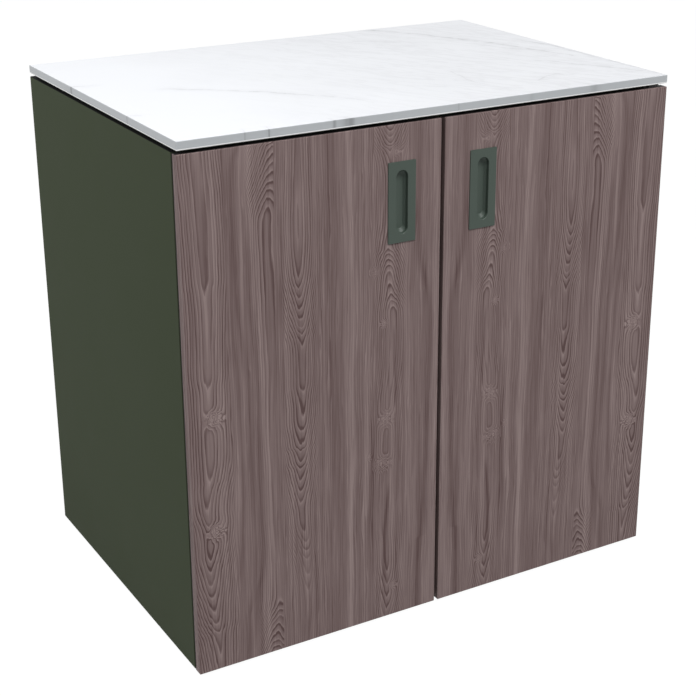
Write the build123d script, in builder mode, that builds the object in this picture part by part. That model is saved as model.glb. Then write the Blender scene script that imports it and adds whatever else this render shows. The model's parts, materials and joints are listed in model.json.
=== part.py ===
"""Outdoor kitchen base cabinet: a folded aluminium carcass on levelling feet, a stone worktop
over a shadow gap, and two overlay doors with flush pulls on one-pin cup hinges.

Millimetres. +Z is up, the doors face -Y, +X is to the right seen from the front.
The origin is on the floor under the middle of the whole cabinet.
"""

import os

from build123d import *

os.makedirs("parts", exist_ok=True)

# Overall sizes
cabinet_width = 900.0
body_depth = 627.0
body_height = 859.0
floor_gap = 8.0
shadow_gap = 6.0
slab_thickness = 14.0
slab_arris = 0.8

# Sheet metal
sheet = 2.0
side_wall = 18.0
fold_radius = 1.5
side_lip = 25.0
hinge_lip = 60.0
lip_corner = 6.0
back_recess = 2.0
panel_flange = 30.0
back_return = 20.0
bottom_lip = 12.0
rail_depth = 80.0

# Doors
door_thickness = 17.0
door_gap = 3.5
door_split = 7.0
door_edge = 0.6

# Flush pulls, placed from the door's free edge and its top
pull_width = 50.0
pull_height = 131.0
pull_proud = 2.0
pull_from_free_edge = 47.5
pull_from_top = 58.5
recess_width = 22.0
recess_height = 104.0
recess_depth = 12.0
recess_draft = 10.0
recess_floor_radius = 3.0
pull_wall = 1.6
pull_fit = 0.3
pull_boss_radius = 3.5
pull_boss_length = 9.0
pull_boss_end = 6.5
pull_edge = 0.5
pull_screw_radius = 2.0
pull_screw_head_radius = 4.0
pull_screw_head = 2.2

# One-pin cup hinges: distances from the door's outer edge and from its front face
hinge_from_end = 100.0
hinge_axis_in = 7.4
hinge_axis_back = 9.7
cup_edge = 3.0
cup_width = 35.0
cup_height = 36.0
cup_depth = 12.0
cup_corner = 4.0
cup_wall = 1.2
cup_fit = 0.1
cup_flange = 1.2
cup_flange_height = 66.0
cup_screw_pitch = 52.0
hinge_pin_radius = 1.75
hinge_pin_inset = 0.5
hinge_running_fit = 0.05
hinge_eye_radius = 2.9
arm_height = 16.0
arm_thickness = 3.0
arm_neck_offset = 1.0
arm_bend_radius = 4.0
arm_end_setback = 2.0
plate_thickness = 2.5
plate_setback = 37.0
plate_length = 48.0
plate_spine = 20.0
plate_wing = 14.0
plate_wing_height = 48.0
plate_corner = 4.0
plate_screw_pitch = 32.0
arm_screw_pitch = 30.0
hinge_screw_radius = 2.4
hinge_screw_head_radius = 4.0
hinge_screw_head = 1.8
hinge_screw_tip = 6.0
cup_screw_radius = 1.8
cup_screw_head_radius = 3.4
cup_screw_head = 1.3
cup_screw_length = 10.0
screw_fit = 0.1

# Magnetic catches and bumpers at the free edges
catch_from_split = 40.0
catch_radius = 7.0
catch_length = 16.0
catch_head_radius = 9.5
catch_head = 1.4
strike_radius = 9.0
strike_thickness = 1.6
strike_peg_radius = 2.5
strike_peg = 8.0
bumper_from_split = 14.0
bumper_radius = 5.0
bumper_clearance = 0.3
bumper_edge = 0.8

# Shelf on four supports, in two columns of holes on each side
shelf_top = 440.0
shelf_height = 25.0
shelf_side_clearance = 2.5
shelf_front_setback = 55.0
shelf_back_clearance = 4.5
shelf_lip = 16.0
support_column_setback = 100.0
support_pitch = 32.0
support_holes = 5
support_peg_radius = 2.5
support_peg = 8.0
support_collar_radius = 5.5
support_collar = 1.5
support_tongue = 14.0
support_tongue_width = 12.0
support_tongue_thickness = 3.0

# Levelling feet
foot_setback_side = 75.0
foot_setback_front = 82.0
foot_setback_back = 75.0
pad_radius = 21.0
pad_rim = 3.0
pad_boss_radius = 10.0
pad_height = 6.0
pad_floor = 2.0
pad_edge = 0.8
stem_radius = 5.0
stem_top_below_panel = 0.3
stem_hex = 15.0
stem_hex_height = 5.0
stem_socket = 5.0
stem_socket_depth = 6.0
foot_nut = 17.0
foot_nut_height = 14.0
foot_hole_radius = 6.0
thread_fit = 0.06

# Spacer bars between the body and the worktop
spacer_width = 30.0
spacer_from_front = 40.0
spacer_from_back = 30.0
spacer_from_side = 10.0

# Blind rivets and the two wall fixing holes
rivet_radius = 2.4
rivet_fit = 0.1
rivet_head_radius = 4.5
rivet_head = 1.4
rivet_tail_radius = 3.2
rivet_tail = 4.0
rivet_edge = 0.6
bottom_rivet_inset = 60.0
back_rivet_inset = 70.0
wall_hole_radius = 3.5
wall_hole_pitch = 640.0

# Levels and lines worked out from the sizes above
body_bottom = floor_gap
body_top = body_bottom + body_height
body_middle = (body_bottom + body_top) / 2
slab_bottom = body_top + shadow_gap
door_front = (pull_proud - body_depth) / 2
back_line = door_front + body_depth
door_rear = door_front + door_thickness
carcass_front = door_rear + door_gap
carcass_depth = back_line - carcass_front
left_edge = -cabinet_width / 2
wall_face = left_edge + side_wall
liner_face = wall_face + sheet
inner_width = -2 * liner_face
panel_back = back_line - back_recess
panel_depth = panel_back - carcass_front
panel_middle = (carcass_front + panel_back) / 2
floor_top = body_bottom + panel_flange
rail_bottom = body_top - panel_flange
back_panel_front = panel_back - back_return
door_width = (cabinet_width - door_split) / 2
free_edge = left_edge + door_width
door_middle = (left_edge + free_edge) / 2


def facing_front(y):
    """A sketch plane at depth y whose normal points to the front, with X across and Z up."""
    return Plane.XZ.offset(-y)


def facing_right(x):
    """A sketch plane at x whose normal points to the right, with Y across and Z up."""
    return Plane.YZ.offset(x)


def write(piece, name):
    """Label a finished piece and write its STEP file."""
    piece.part.label = name
    export_step(piece.part, f"parts/{name}.step")


def write_pair(piece, name):
    """Write a left-hand piece and its mirror image on the right."""
    write(piece, f"{name}_left")
    with BuildPart() as twin:
        mirror(piece.part, about=Plane.YZ)
    write(twin, f"{name}_right")


# Worktop: a sintered stone slab with fine arrises
with BuildPart() as worktop_slab:
    with BuildSketch(Plane.XY.offset(slab_bottom)):
        with Locations((0, (door_front + back_line) / 2)):
            Rectangle(cabinet_width, body_depth)
    extrude(amount=slab_thickness)
    chamfer(worktop_slab.edges(), slab_arris)
write(worktop_slab, "worktop_slab")

# Spacer bars: black flat bars that hold the slab off the body and stay back in the shadow
spacer_front_line = door_front + spacer_from_front
spacer_back_line = back_line - spacer_from_back
spacer_length = cabinet_width - 2 * spacer_from_side
for name, near in (("front", spacer_front_line), ("rear", spacer_back_line - spacer_width)):
    with BuildPart() as spacer:
        with BuildSketch(Plane.XY.offset(body_top)):
            with Locations((0, near + spacer_width / 2)):
                Rectangle(spacer_length, spacer_width)
        extrude(amount=shadow_gap)
    write(spacer, f"spacer_bar_{name}")

side_bar_length = spacer_back_line - spacer_front_line - 2 * spacer_width
with BuildPart() as spacer_side:
    with BuildSketch(Plane.XY.offset(body_top)):
        with Locations(((spacer_width - spacer_length) / 2, (spacer_front_line + spacer_back_line) / 2)):
            Rectangle(spacer_width, side_bar_length)
    extrude(amount=shadow_gap)
write_pair(spacer_side, "spacer_bar")

# Places shared by the holes and what goes through them, as (y, z) on a side wall
hinge_levels = {"lower": body_bottom + hinge_from_end, "upper": body_top - hinge_from_end}
plate_line = carcass_front + plate_setback
plate_screw_places = [
    (plate_line, level + side * plate_screw_pitch / 2) for level in hinge_levels.values() for side in (-1, 1)
]
support_columns = (carcass_front + support_column_setback, back_line - support_column_setback)
support_level = shelf_top - shelf_height - support_tongue_thickness / 2
support_hole_places = [
    (column, support_level + step * support_pitch)
    for column in support_columns
    for step in range(-(support_holes // 2), support_holes // 2 + 1)
]
bottom_rivets = [
    (line, body_bottom + side_lip / 2)
    for line in (carcass_front + bottom_rivet_inset, panel_middle, panel_back - bottom_rivet_inset)
]
rail_rivet_level = body_top - side_lip / 2
front_rail_rivets = [(carcass_front + rail_depth * share, rail_rivet_level) for share in (0.25, 0.75)]
rear_rail_rivets = [(back_panel_front - rail_depth * share, rail_rivet_level) for share in (0.25, 0.75)]
back_rivet_line = back_line - side_lip / 2
back_rivets = [
    (back_rivet_line, level)
    for level in (floor_top + back_rivet_inset, body_middle, rail_bottom - back_rivet_inset)
]
rivet_places = bottom_rivets + front_rail_rivets + rear_rail_rivets + back_rivets

# Side panel: an outer skin folded round into returns and lips, wide where the hinges screw on
with BuildPart() as side_panel:
    carcass_middle = (carcass_front + back_line) / 2
    with BuildSketch(facing_right(left_edge)):
        with Locations((carcass_middle, body_middle)):
            Rectangle(carcass_depth, body_height)
    extrude(amount=side_wall)
    fillet(side_panel.edges().group_by(Axis.X)[0], fold_radius)
    with BuildSketch(facing_right(left_edge + sheet)):
        with Locations((carcass_middle, body_middle)):
            Rectangle(carcass_depth - 2 * sheet, body_height - 2 * sheet)
    extrude(amount=side_wall - 2 * sheet, mode=Mode.SUBTRACT)
    with BuildSketch(facing_right(wall_face)):
        with Locations((carcass_middle + (hinge_lip - side_lip) / 2, body_middle)):
            RectangleRounded(carcass_depth - hinge_lip - side_lip, body_height - 2 * side_lip, lip_corner)
        with Locations(*plate_screw_places):
            Circle(hinge_screw_radius + screw_fit)
        with Locations(*rivet_places):
            Circle(rivet_radius + rivet_fit)
    extrude(amount=-sheet, mode=Mode.SUBTRACT)
write_pair(side_panel, "side_panel")

# Side liner: the flat inner skin with the holes for the hinges and the shelf supports
with BuildPart() as side_liner:
    with BuildSketch(facing_right(wall_face)):
        with Locations((panel_middle, body_middle)):
            Rectangle(panel_depth, body_height)
        with Locations(*plate_screw_places):
            Circle(hinge_screw_radius + screw_fit, mode=Mode.SUBTRACT)
        with Locations(*rivet_places):
            Circle(rivet_radius + rivet_fit, mode=Mode.SUBTRACT)
        with Locations(*support_hole_places):
            Circle(support_peg_radius + screw_fit, mode=Mode.SUBTRACT)
    extrude(amount=sheet)
write_pair(side_liner, "side_liner")

# Blind rivets that join the panels and rails to the liner and the lip behind it
with BuildPart() as rivets:
    head_face = liner_face + sheet
    with BuildSketch(facing_right(head_face)):
        with Locations(*rivet_places):
            Circle(rivet_head_radius)
    extrude(amount=rivet_head)
    chamfer(rivets.edges().group_by(Axis.X)[-1], rivet_edge)
    with BuildSketch(facing_right(head_face)):
        with Locations(*rivet_places):
            Circle(rivet_radius)
    extrude(amount=-3 * sheet)
    with BuildSketch(facing_right(wall_face - sheet)):
        with Locations(*rivet_places):
            Circle(rivet_tail_radius)
    extrude(amount=-rivet_tail)
write_pair(rivets, "blind_rivets")

# Bottom panel: a tray turned upside down, its flanges folded in below, over the feet
foot_x = cabinet_width / 2 - foot_setback_side
foot_places = {
    "front_left": (-foot_x, door_front + foot_setback_front),
    "front_right": (foot_x, door_front + foot_setback_front),
    "rear_left": (-foot_x, back_line - foot_setback_back),
    "rear_right": (foot_x, back_line - foot_setback_back),
}
with BuildPart() as bottom_panel:
    with BuildSketch(Plane.XY.offset(body_bottom)):
        with Locations((0, panel_middle)):
            Rectangle(inner_width, panel_depth)
    extrude(amount=panel_flange)
    with BuildSketch(Plane.XY.offset(body_bottom + sheet)):
        with Locations((0, panel_middle)):
            Rectangle(inner_width - 2 * sheet, panel_depth - 2 * sheet)
    extrude(amount=panel_flange - 2 * sheet, mode=Mode.SUBTRACT)
    with BuildSketch(Plane.XY.offset(body_bottom)):
        with Locations((0, panel_middle)):
            RectangleRounded(inner_width - 2 * bottom_lip, panel_depth - 2 * bottom_lip, lip_corner)
    extrude(amount=sheet, mode=Mode.SUBTRACT)
    with BuildSketch(Plane.XY.offset(floor_top)):
        with Locations(*foot_places.values()):
            Circle(foot_hole_radius)
    extrude(amount=-sheet, mode=Mode.SUBTRACT)
    with BuildSketch(facing_right(liner_face)):
        with Locations(*bottom_rivets):
            Circle(rivet_radius + rivet_fit)
    extrude(amount=inner_width, mode=Mode.SUBTRACT)
write(bottom_panel, "bottom_panel")

# Top rails: channels across the carcass, open below, that carry the worktop
catch_x = door_split / 2 + catch_from_split
flange_middle = body_top - panel_flange / 2
with BuildPart() as front_top_rail:
    rail_middle = carcass_front + rail_depth / 2
    with BuildSketch(Plane.XY.offset(rail_bottom)):
        with Locations((0, rail_middle)):
            Rectangle(inner_width, rail_depth)
    extrude(amount=panel_flange)
    with BuildSketch(Plane.XY.offset(rail_bottom)):
        with Locations((0, rail_middle)):
            Rectangle(inner_width - 2 * sheet, rail_depth - 2 * sheet)
    extrude(amount=panel_flange - sheet, mode=Mode.SUBTRACT)
    with BuildSketch(facing_front(carcass_front)):
        with Locations((-catch_x, flange_middle), (catch_x, flange_middle)):
            Circle(catch_radius)
    extrude(amount=-sheet, mode=Mode.SUBTRACT)
    with BuildSketch(facing_right(liner_face)):
        with Locations(*front_rail_rivets):
            Circle(rivet_radius + rivet_fit)
    extrude(amount=inner_width, mode=Mode.SUBTRACT)
write(front_top_rail, "front_top_rail")

wall_hole_places = [(-wall_hole_pitch / 2, flange_middle), (wall_hole_pitch / 2, flange_middle)]
with BuildPart() as rear_top_rail:
    rail_middle = back_panel_front - rail_depth / 2
    with BuildSketch(Plane.XY.offset(rail_bottom)):
        with Locations((0, rail_middle)):
            Rectangle(inner_width, rail_depth)
    extrude(amount=panel_flange)
    with BuildSketch(Plane.XY.offset(rail_bottom)):
        with Locations((0, rail_middle)):
            Rectangle(inner_width - 2 * sheet, rail_depth - 2 * sheet)
    extrude(amount=panel_flange - sheet, mode=Mode.SUBTRACT)
    with BuildSketch(facing_front(back_panel_front - sheet)):
        with Locations(*wall_hole_places):
            Circle(wall_hole_radius)
    extrude(amount=-sheet, mode=Mode.SUBTRACT)
    with BuildSketch(facing_right(liner_face)):
        with Locations(*rear_rail_rivets):
            Circle(rivet_radius + rivet_fit)
    extrude(amount=inner_width, mode=Mode.SUBTRACT)
write(rear_top_rail, "rear_top_rail")

# Back panel: stands on the bottom panel, its returns folded forward, flush below the body's top
with BuildPart() as back_panel:
    back_height = body_top - floor_top
    back_centre = (0, floor_top + back_height / 2)
    with BuildSketch(facing_front(panel_back)):
        with Locations(back_centre):
            Rectangle(inner_width, back_height)
    extrude(amount=back_return)
    with BuildSketch(facing_front(panel_back - sheet)):
        with Locations(back_centre):
            Rectangle(inner_width - 2 * sheet, back_height - 2 * sheet)
    extrude(amount=back_return - sheet, mode=Mode.SUBTRACT)
    with BuildSketch(facing_front(panel_back)):
        with Locations(*wall_hole_places):
            Circle(wall_hole_radius)
    extrude(amount=sheet, mode=Mode.SUBTRACT)
    with BuildSketch(facing_right(liner_face)):
        with Locations(*back_rivets):
            Circle(rivet_radius + rivet_fit)
    extrude(amount=inner_width, mode=Mode.SUBTRACT)
write(back_panel, "back_panel")

# Shelf: a folded tray that lies loose on its four supports
with BuildPart() as shelf:
    shelf_width = inner_width - 2 * shelf_side_clearance
    shelf_front = carcass_front + shelf_front_setback
    shelf_back = back_panel_front - shelf_back_clearance
    shelf_depth = shelf_back - shelf_front
    shelf_middle = (shelf_front + shelf_back) / 2
    shelf_bottom = shelf_top - shelf_height
    with BuildSketch(Plane.XY.offset(shelf_bottom)):
        with Locations((0, shelf_middle)):
            Rectangle(shelf_width, shelf_depth)
    extrude(amount=shelf_height)
    fillet(shelf.edges().group_by(Axis.Z)[-1], fold_radius)
    with BuildSketch(Plane.XY.offset(shelf_bottom + sheet)):
        with Locations((0, shelf_middle)):
            Rectangle(shelf_width - 2 * sheet, shelf_depth - 2 * sheet)
    extrude(amount=shelf_height - 2 * sheet, mode=Mode.SUBTRACT)
    with BuildSketch(Plane.XY.offset(shelf_bottom)):
        with Locations((0, shelf_middle)):
            RectangleRounded(shelf_width - 2 * shelf_lip, shelf_depth - 2 * shelf_lip, lip_corner)
    extrude(amount=sheet, mode=Mode.SUBTRACT)
write(shelf, "shelf")

# Shelf supports: a peg in the liner, a collar against it and a flat tongue under the shelf
with BuildPart() as shelf_supports:
    peg_places = [(column, support_level) for column in support_columns]
    collar_cut_level = shelf_top - shelf_height + support_collar_radius
    collar_cuts = [(column, collar_cut_level) for column in support_columns]
    with BuildSketch(facing_right(liner_face)):
        with Locations(*peg_places):
            Circle(support_peg_radius)
    extrude(amount=-support_peg)
    with BuildSketch(facing_right(liner_face)):
        with Locations(*peg_places):
            Circle(support_collar_radius)
        with Locations(*collar_cuts):
            Rectangle(2 * support_collar_radius, 2 * support_collar_radius, mode=Mode.SUBTRACT)
    extrude(amount=support_collar)
    with BuildSketch(facing_right(liner_face)):
        with Locations(*peg_places):
            Rectangle(support_tongue_width, support_tongue_thickness)
    extrude(amount=support_tongue)
write_pair(shelf_supports, "shelf_supports")

# Levelling feet: nuts under the bottom panel, threaded stems and round pads
with BuildPart() as foot_nuts:
    with BuildSketch(Plane.XY.offset(floor_top - sheet)):
        with Locations(*foot_places.values()):
            RegularPolygon(foot_nut / 2, 6, major_radius=False)
            Circle(stem_radius + thread_fit, mode=Mode.SUBTRACT)
    extrude(amount=-foot_nut_height)
write(foot_nuts, "foot_nuts")

stem_top = floor_top - stem_top_below_panel
for name, place in foot_places.items():
    with BuildPart() as foot_pad:
        with BuildSketch(Plane.XY):
            with Locations(place):
                Circle(pad_radius)
        extrude(amount=pad_rim)
        chamfer(foot_pad.edges().group_by(Axis.Z)[-1], pad_edge)
        with BuildSketch(Plane.XY):
            with Locations(place):
                Circle(pad_boss_radius)
        extrude(amount=pad_height)
        with BuildSketch(Plane.XY.offset(pad_floor)):
            with Locations(place):
                Circle(stem_radius)
        extrude(amount=pad_height, mode=Mode.SUBTRACT)
    write(foot_pad, f"foot_pad_{name}")
    with BuildPart() as foot_stem:
        with BuildSketch(Plane.XY.offset(pad_floor)):
            with Locations(place):
                Circle(stem_radius)
        extrude(amount=stem_top - pad_floor)
        with BuildSketch(Plane.XY.offset(pad_height)):
            with Locations(place):
                RegularPolygon(stem_hex / 2, 6, major_radius=False)
        extrude(amount=stem_hex_height)
        with BuildSketch(Plane.XY.offset(stem_top)):
            with Locations(place):
                RegularPolygon(stem_socket / 2, 6, major_radius=False)
        extrude(amount=-stem_socket_depth, mode=Mode.SUBTRACT)
    write(foot_stem, f"foot_stem_{name}")

# Places on a door, as (x, z) on the left one
cup_middle = left_edge + cup_edge + cup_width / 2
cup_places = [(cup_middle, level) for level in hinge_levels.values()]
cup_screw_places = [
    (cup_middle, level + side * cup_screw_pitch / 2) for level in hinge_levels.values() for side in (-1, 1)
]
pull_x = free_edge - pull_from_free_edge - pull_width / 2
pull_z = body_top - pull_from_top - pull_height / 2
pull_screw_places = [(pull_x, pull_z + side * (pull_height / 2 - pull_boss_end)) for side in (-1, 1)]
pocket_width = recess_width + 2 * pull_wall
pocket_height = recess_height + 2 * pull_wall
pocket_depth = recess_depth - pull_proud + pull_wall
strike_place = (-catch_x, flange_middle)
bumper_x = -door_split / 2 - bumper_from_split
bumper_places = [(bumper_x, body_bottom + panel_flange / 2), (bumper_x, flange_middle)]

# Door: a wood-look board with pockets for the pull and the hinge cups
with BuildPart() as door:
    with BuildSketch(facing_front(door_rear)):
        with Locations((door_middle, body_middle)):
            Rectangle(door_width, body_height)
    extrude(amount=door_thickness)
    chamfer(door.edges(), door_edge)
    with BuildSketch(facing_front(door_front)):
        with Locations((pull_x, pull_z)):
            SlotOverall(pocket_height + 2 * pull_fit, pocket_width + 2 * pull_fit, rotation=90)
    extrude(amount=-(pocket_depth + pull_fit), mode=Mode.SUBTRACT)
    with BuildSketch(facing_front(door_front)):
        with Locations(*pull_screw_places):
            Circle(pull_boss_radius + pull_fit)
    extrude(amount=-(pull_boss_length + pull_fit), mode=Mode.SUBTRACT)
    with BuildSketch(facing_front(door_rear)):
        with Locations(*pull_screw_places):
            Circle(pull_screw_radius + screw_fit)
    extrude(amount=door_thickness - pull_boss_length, mode=Mode.SUBTRACT)
    with BuildSketch(facing_front(door_rear)):
        with Locations(*pull_screw_places):
            Circle(pull_screw_head_radius + screw_fit)
    extrude(amount=pull_screw_head, mode=Mode.SUBTRACT)
    with BuildSketch(facing_front(door_rear)):
        with Locations(*cup_places):
            RectangleRounded(cup_width + 2 * cup_fit, cup_height + 2 * cup_fit, cup_corner)
    extrude(amount=cup_depth + cup_fit, mode=Mode.SUBTRACT)
    with BuildSketch(facing_front(door_rear)):
        with Locations(*cup_screw_places):
            Circle(cup_screw_radius + screw_fit)
    extrude(amount=cup_screw_length + screw_fit, mode=Mode.SUBTRACT)
    with BuildSketch(facing_front(door_rear)):
        with Locations(strike_place):
            Circle(strike_peg_radius + screw_fit)
    extrude(amount=strike_peg + screw_fit, mode=Mode.SUBTRACT)
write_pair(door, "door")

# Flush pull: a cast plate with a drafted finger recess and two tapped bosses behind
with BuildPart() as pull:
    with BuildSketch(facing_front(door_front)):
        with Locations((pull_x, pull_z)):
            Rectangle(pull_width, pull_height)
    extrude(amount=pull_proud)
    chamfer(pull.edges().group_by(Axis.Y)[0], pull_edge)
    with BuildSketch(facing_front(door_front)):
        with Locations((pull_x, pull_z)):
            SlotOverall(pocket_height, pocket_width, rotation=90)
    extrude(amount=-pocket_depth)
    with BuildSketch(facing_front(door_front)):
        with Locations(*pull_screw_places):
            Circle(pull_boss_radius)
    extrude(amount=-pull_boss_length)
    with BuildSketch(facing_front(door_front - pull_proud)):
        with Locations((pull_x, pull_z)):
            SlotOverall(recess_height, recess_width, rotation=90)
    extrude(amount=-recess_depth, taper=recess_draft, mode=Mode.SUBTRACT)
    recess_middle = (pull_x, door_front - pull_proud + recess_depth, pull_z)
    recess_floor = pull.faces().filter_by(Axis.Y).sort_by_distance(recess_middle)[0]
    fillet(recess_floor.edges(), recess_floor_radius)
    with BuildSketch(facing_front(door_front + pull_boss_length)):
        with Locations(*pull_screw_places):
            Circle(pull_screw_radius)
    extrude(amount=pull_boss_length, mode=Mode.SUBTRACT)
write_pair(pull, "flush_pull")

# Pull screws: from behind the door into the bosses
with BuildPart() as pull_screws:
    with BuildSketch(facing_front(door_rear)):
        with Locations(*pull_screw_places):
            Circle(pull_screw_head_radius)
    extrude(amount=pull_screw_head)
    with BuildSketch(facing_front(door_rear)):
        with Locations(*pull_screw_places):
            Circle(pull_screw_radius)
    extrude(amount=door_thickness - pull_screw_head)
    with BuildSketch(facing_front(door_rear)):
        with Locations(*pull_screw_places):
            RegularPolygon(pull_screw_radius * 0.6, 6, major_radius=False)
    extrude(amount=pull_screw_head * 0.7, mode=Mode.SUBTRACT)
write_pair(pull_screws, "pull_screws")

# Hinges: the cup and its pin turn with the door, the arm and its plate stay on the wall
axis_x = left_edge + hinge_axis_in
axis_y = door_front + hinge_axis_back
arm_face = liner_face + plate_thickness
arm_back = plate_line + plate_length / 2 - arm_end_setback
neck_front = axis_y - arm_neck_offset - arm_thickness / 2
arm_screw_places = {
    name: [(plate_line + side * arm_screw_pitch / 2, level) for side in (-1, 1)]
    for name, level in hinge_levels.items()
}
for name, level in hinge_levels.items():
    with BuildPart() as hinge_cup:
        with BuildSketch(facing_front(door_rear + cup_flange)):
            with Locations((cup_middle, level)):
                RectangleRounded(cup_width, cup_flange_height, cup_corner)
        extrude(amount=cup_flange)
        with BuildSketch(facing_front(door_rear)):
            with Locations((cup_middle, level)):
                RectangleRounded(cup_width, cup_height, cup_corner)
        extrude(amount=cup_depth)
        with BuildSketch(facing_front(door_rear + cup_flange)):
            with Locations((cup_middle, level)):
                RectangleRounded(cup_width - 2 * cup_wall, cup_height - 2 * cup_wall, cup_corner - cup_wall)
        extrude(amount=cup_flange + cup_depth - cup_wall, mode=Mode.SUBTRACT)
        with BuildSketch(facing_front(door_rear + cup_flange)):
            with Locations(*cup_screw_places):
                Circle(cup_screw_radius + screw_fit)
        extrude(amount=cup_flange, mode=Mode.SUBTRACT)
        with BuildSketch(Plane.XY.offset(level)):
            with Locations((axis_x, axis_y)):
                Circle(hinge_pin_radius)
        extrude(amount=cup_height / 2, both=True, mode=Mode.SUBTRACT)
    write_pair(hinge_cup, f"hinge_cup_{name}")

    with BuildPart() as hinge_pin:
        with BuildSketch(Plane.XY.offset(level)):
            with Locations((axis_x, axis_y)):
                Circle(hinge_pin_radius)
        extrude(amount=cup_height / 2 - hinge_pin_inset, both=True)
    write_pair(hinge_pin, f"hinge_pin_{name}")

    with BuildPart() as hinge_arm:
        with BuildSketch(Plane.XY.offset(level - arm_height / 2)) as profile:
            with Locations((axis_x, neck_front)):
                Rectangle(arm_face + arm_thickness - axis_x, arm_thickness, align=(Align.MIN, Align.MIN))
            with Locations((arm_face, neck_front)):
                Rectangle(arm_thickness, arm_back - neck_front, align=(Align.MIN, Align.MIN))
            bend = profile.vertices().sort_by_distance((arm_face + arm_thickness, neck_front))[0]
            fillet(bend, arm_bend_radius)
            with Locations((axis_x, axis_y)):
                Circle(hinge_eye_radius)
                Circle(hinge_pin_radius + hinge_running_fit, mode=Mode.SUBTRACT)
        extrude(amount=arm_height)
        with BuildSketch(facing_right(arm_face)):
            with Locations(*arm_screw_places[name]):
                Circle(hinge_screw_radius + screw_fit)
        extrude(amount=arm_thickness, mode=Mode.SUBTRACT)
        fillet(hinge_arm.edges().filter_by(Axis.X).group_by(Axis.Y)[-1], plate_corner)
    write_pair(hinge_arm, f"hinge_arm_{name}")

    with BuildPart() as hinge_plate:
        with BuildSketch(facing_right(liner_face)) as outline:
            with Locations((plate_line, level)):
                Rectangle(plate_length, plate_spine)
                Rectangle(plate_wing, plate_wing_height)
            fillet(outline.vertices(), plate_corner / 2)
            with Locations(*arm_screw_places[name]):
                Circle(hinge_screw_radius + screw_fit, mode=Mode.SUBTRACT)
            with Locations(*plate_screw_places):
                Circle(hinge_screw_radius + screw_fit, mode=Mode.SUBTRACT)
        extrude(amount=plate_thickness)
    write_pair(hinge_plate, f"hinge_plate_{name}")

# Hinge screws in the wall: two through each plate and two through each arm
with BuildPart() as hinge_screws:
    all_arm_screws = arm_screw_places["lower"] + arm_screw_places["upper"]
    for places, seat in ((plate_screw_places, arm_face), (all_arm_screws, arm_face + arm_thickness)):
        with BuildSketch(facing_right(seat)):
            with Locations(*places):
                Circle(hinge_screw_head_radius)
        extrude(amount=hinge_screw_head)
        with BuildSketch(facing_right(seat + hinge_screw_head)):
            with Locations(*places):
                RegularPolygon(hinge_screw_radius * 0.6, 6, major_radius=False)
        extrude(amount=-hinge_screw_head * 0.7, mode=Mode.SUBTRACT)
    with BuildSketch(facing_right(arm_face)):
        with Locations(*plate_screw_places):
            Circle(hinge_screw_radius)
    extrude(amount=-(plate_thickness + 2 * sheet + hinge_screw_tip))
    with BuildSketch(facing_right(arm_face + arm_thickness)):
        with Locations(*all_arm_screws):
            Circle(hinge_screw_radius)
    extrude(amount=-(arm_thickness + plate_thickness))
write_pair(hinge_screws, "hinge_screws")

# Cup screws in the door
with BuildPart() as cup_screws:
    with BuildSketch(facing_front(door_rear + cup_flange)):
        with Locations(*cup_screw_places):
            Circle(cup_screw_radius)
    extrude(amount=cup_flange + cup_screw_length)
    with BuildSketch(facing_front(door_rear + cup_flange)):
        with Locations(*cup_screw_places):
            Circle(cup_screw_head_radius)
    extrude(amount=-cup_screw_head)
write_pair(cup_screws, "cup_screws")

# Magnetic catch in the front rail, the strike on the door, and the door's bumpers
with BuildPart() as catch:
    with BuildSketch(facing_front(carcass_front)):
        with Locations(strike_place):
            Circle(catch_head_radius)
    extrude(amount=catch_head)
    with BuildSketch(facing_front(carcass_front)):
        with Locations(strike_place):
            Circle(catch_radius)
    extrude(amount=-catch_length)
write_pair(catch, "magnetic_catch")

with BuildPart() as strike:
    with BuildSketch(facing_front(door_rear)):
        with Locations(strike_place):
            Circle(strike_radius)
    extrude(amount=-strike_thickness)
    with BuildSketch(facing_front(door_rear)):
        with Locations(strike_place):
            Circle(strike_peg_radius)
    extrude(amount=strike_peg)
write_pair(strike, "strike_disc")

with BuildPart() as bumpers:
    with BuildSketch(facing_front(door_rear)):
        with Locations(*bumper_places):
            Circle(bumper_radius)
    extrude(amount=-(door_gap - bumper_clearance))
    chamfer(bumpers.edges().group_by(Axis.Y)[-1], bumper_edge)
write_pair(bumpers, "door_bumpers")
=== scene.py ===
# %% [markdown]
# # An outdoor kitchen base cabinet
# The cabinet comes from the CAD model as separate parts: a folded metal carcass, a thin stone
# worktop over a shadow gap, and two wood-look doors with cast pulls. In this notebook each part
# gets its finish, some small pieces get the detail that a solid model leaves out, and a camera and
# soft light are set up. Everything is in metres, and a part stays exactly where the model has it.

# %% Load the cabinet
import json
import math

import bmesh
import bpy
from mathutils import Matrix, Vector

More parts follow.
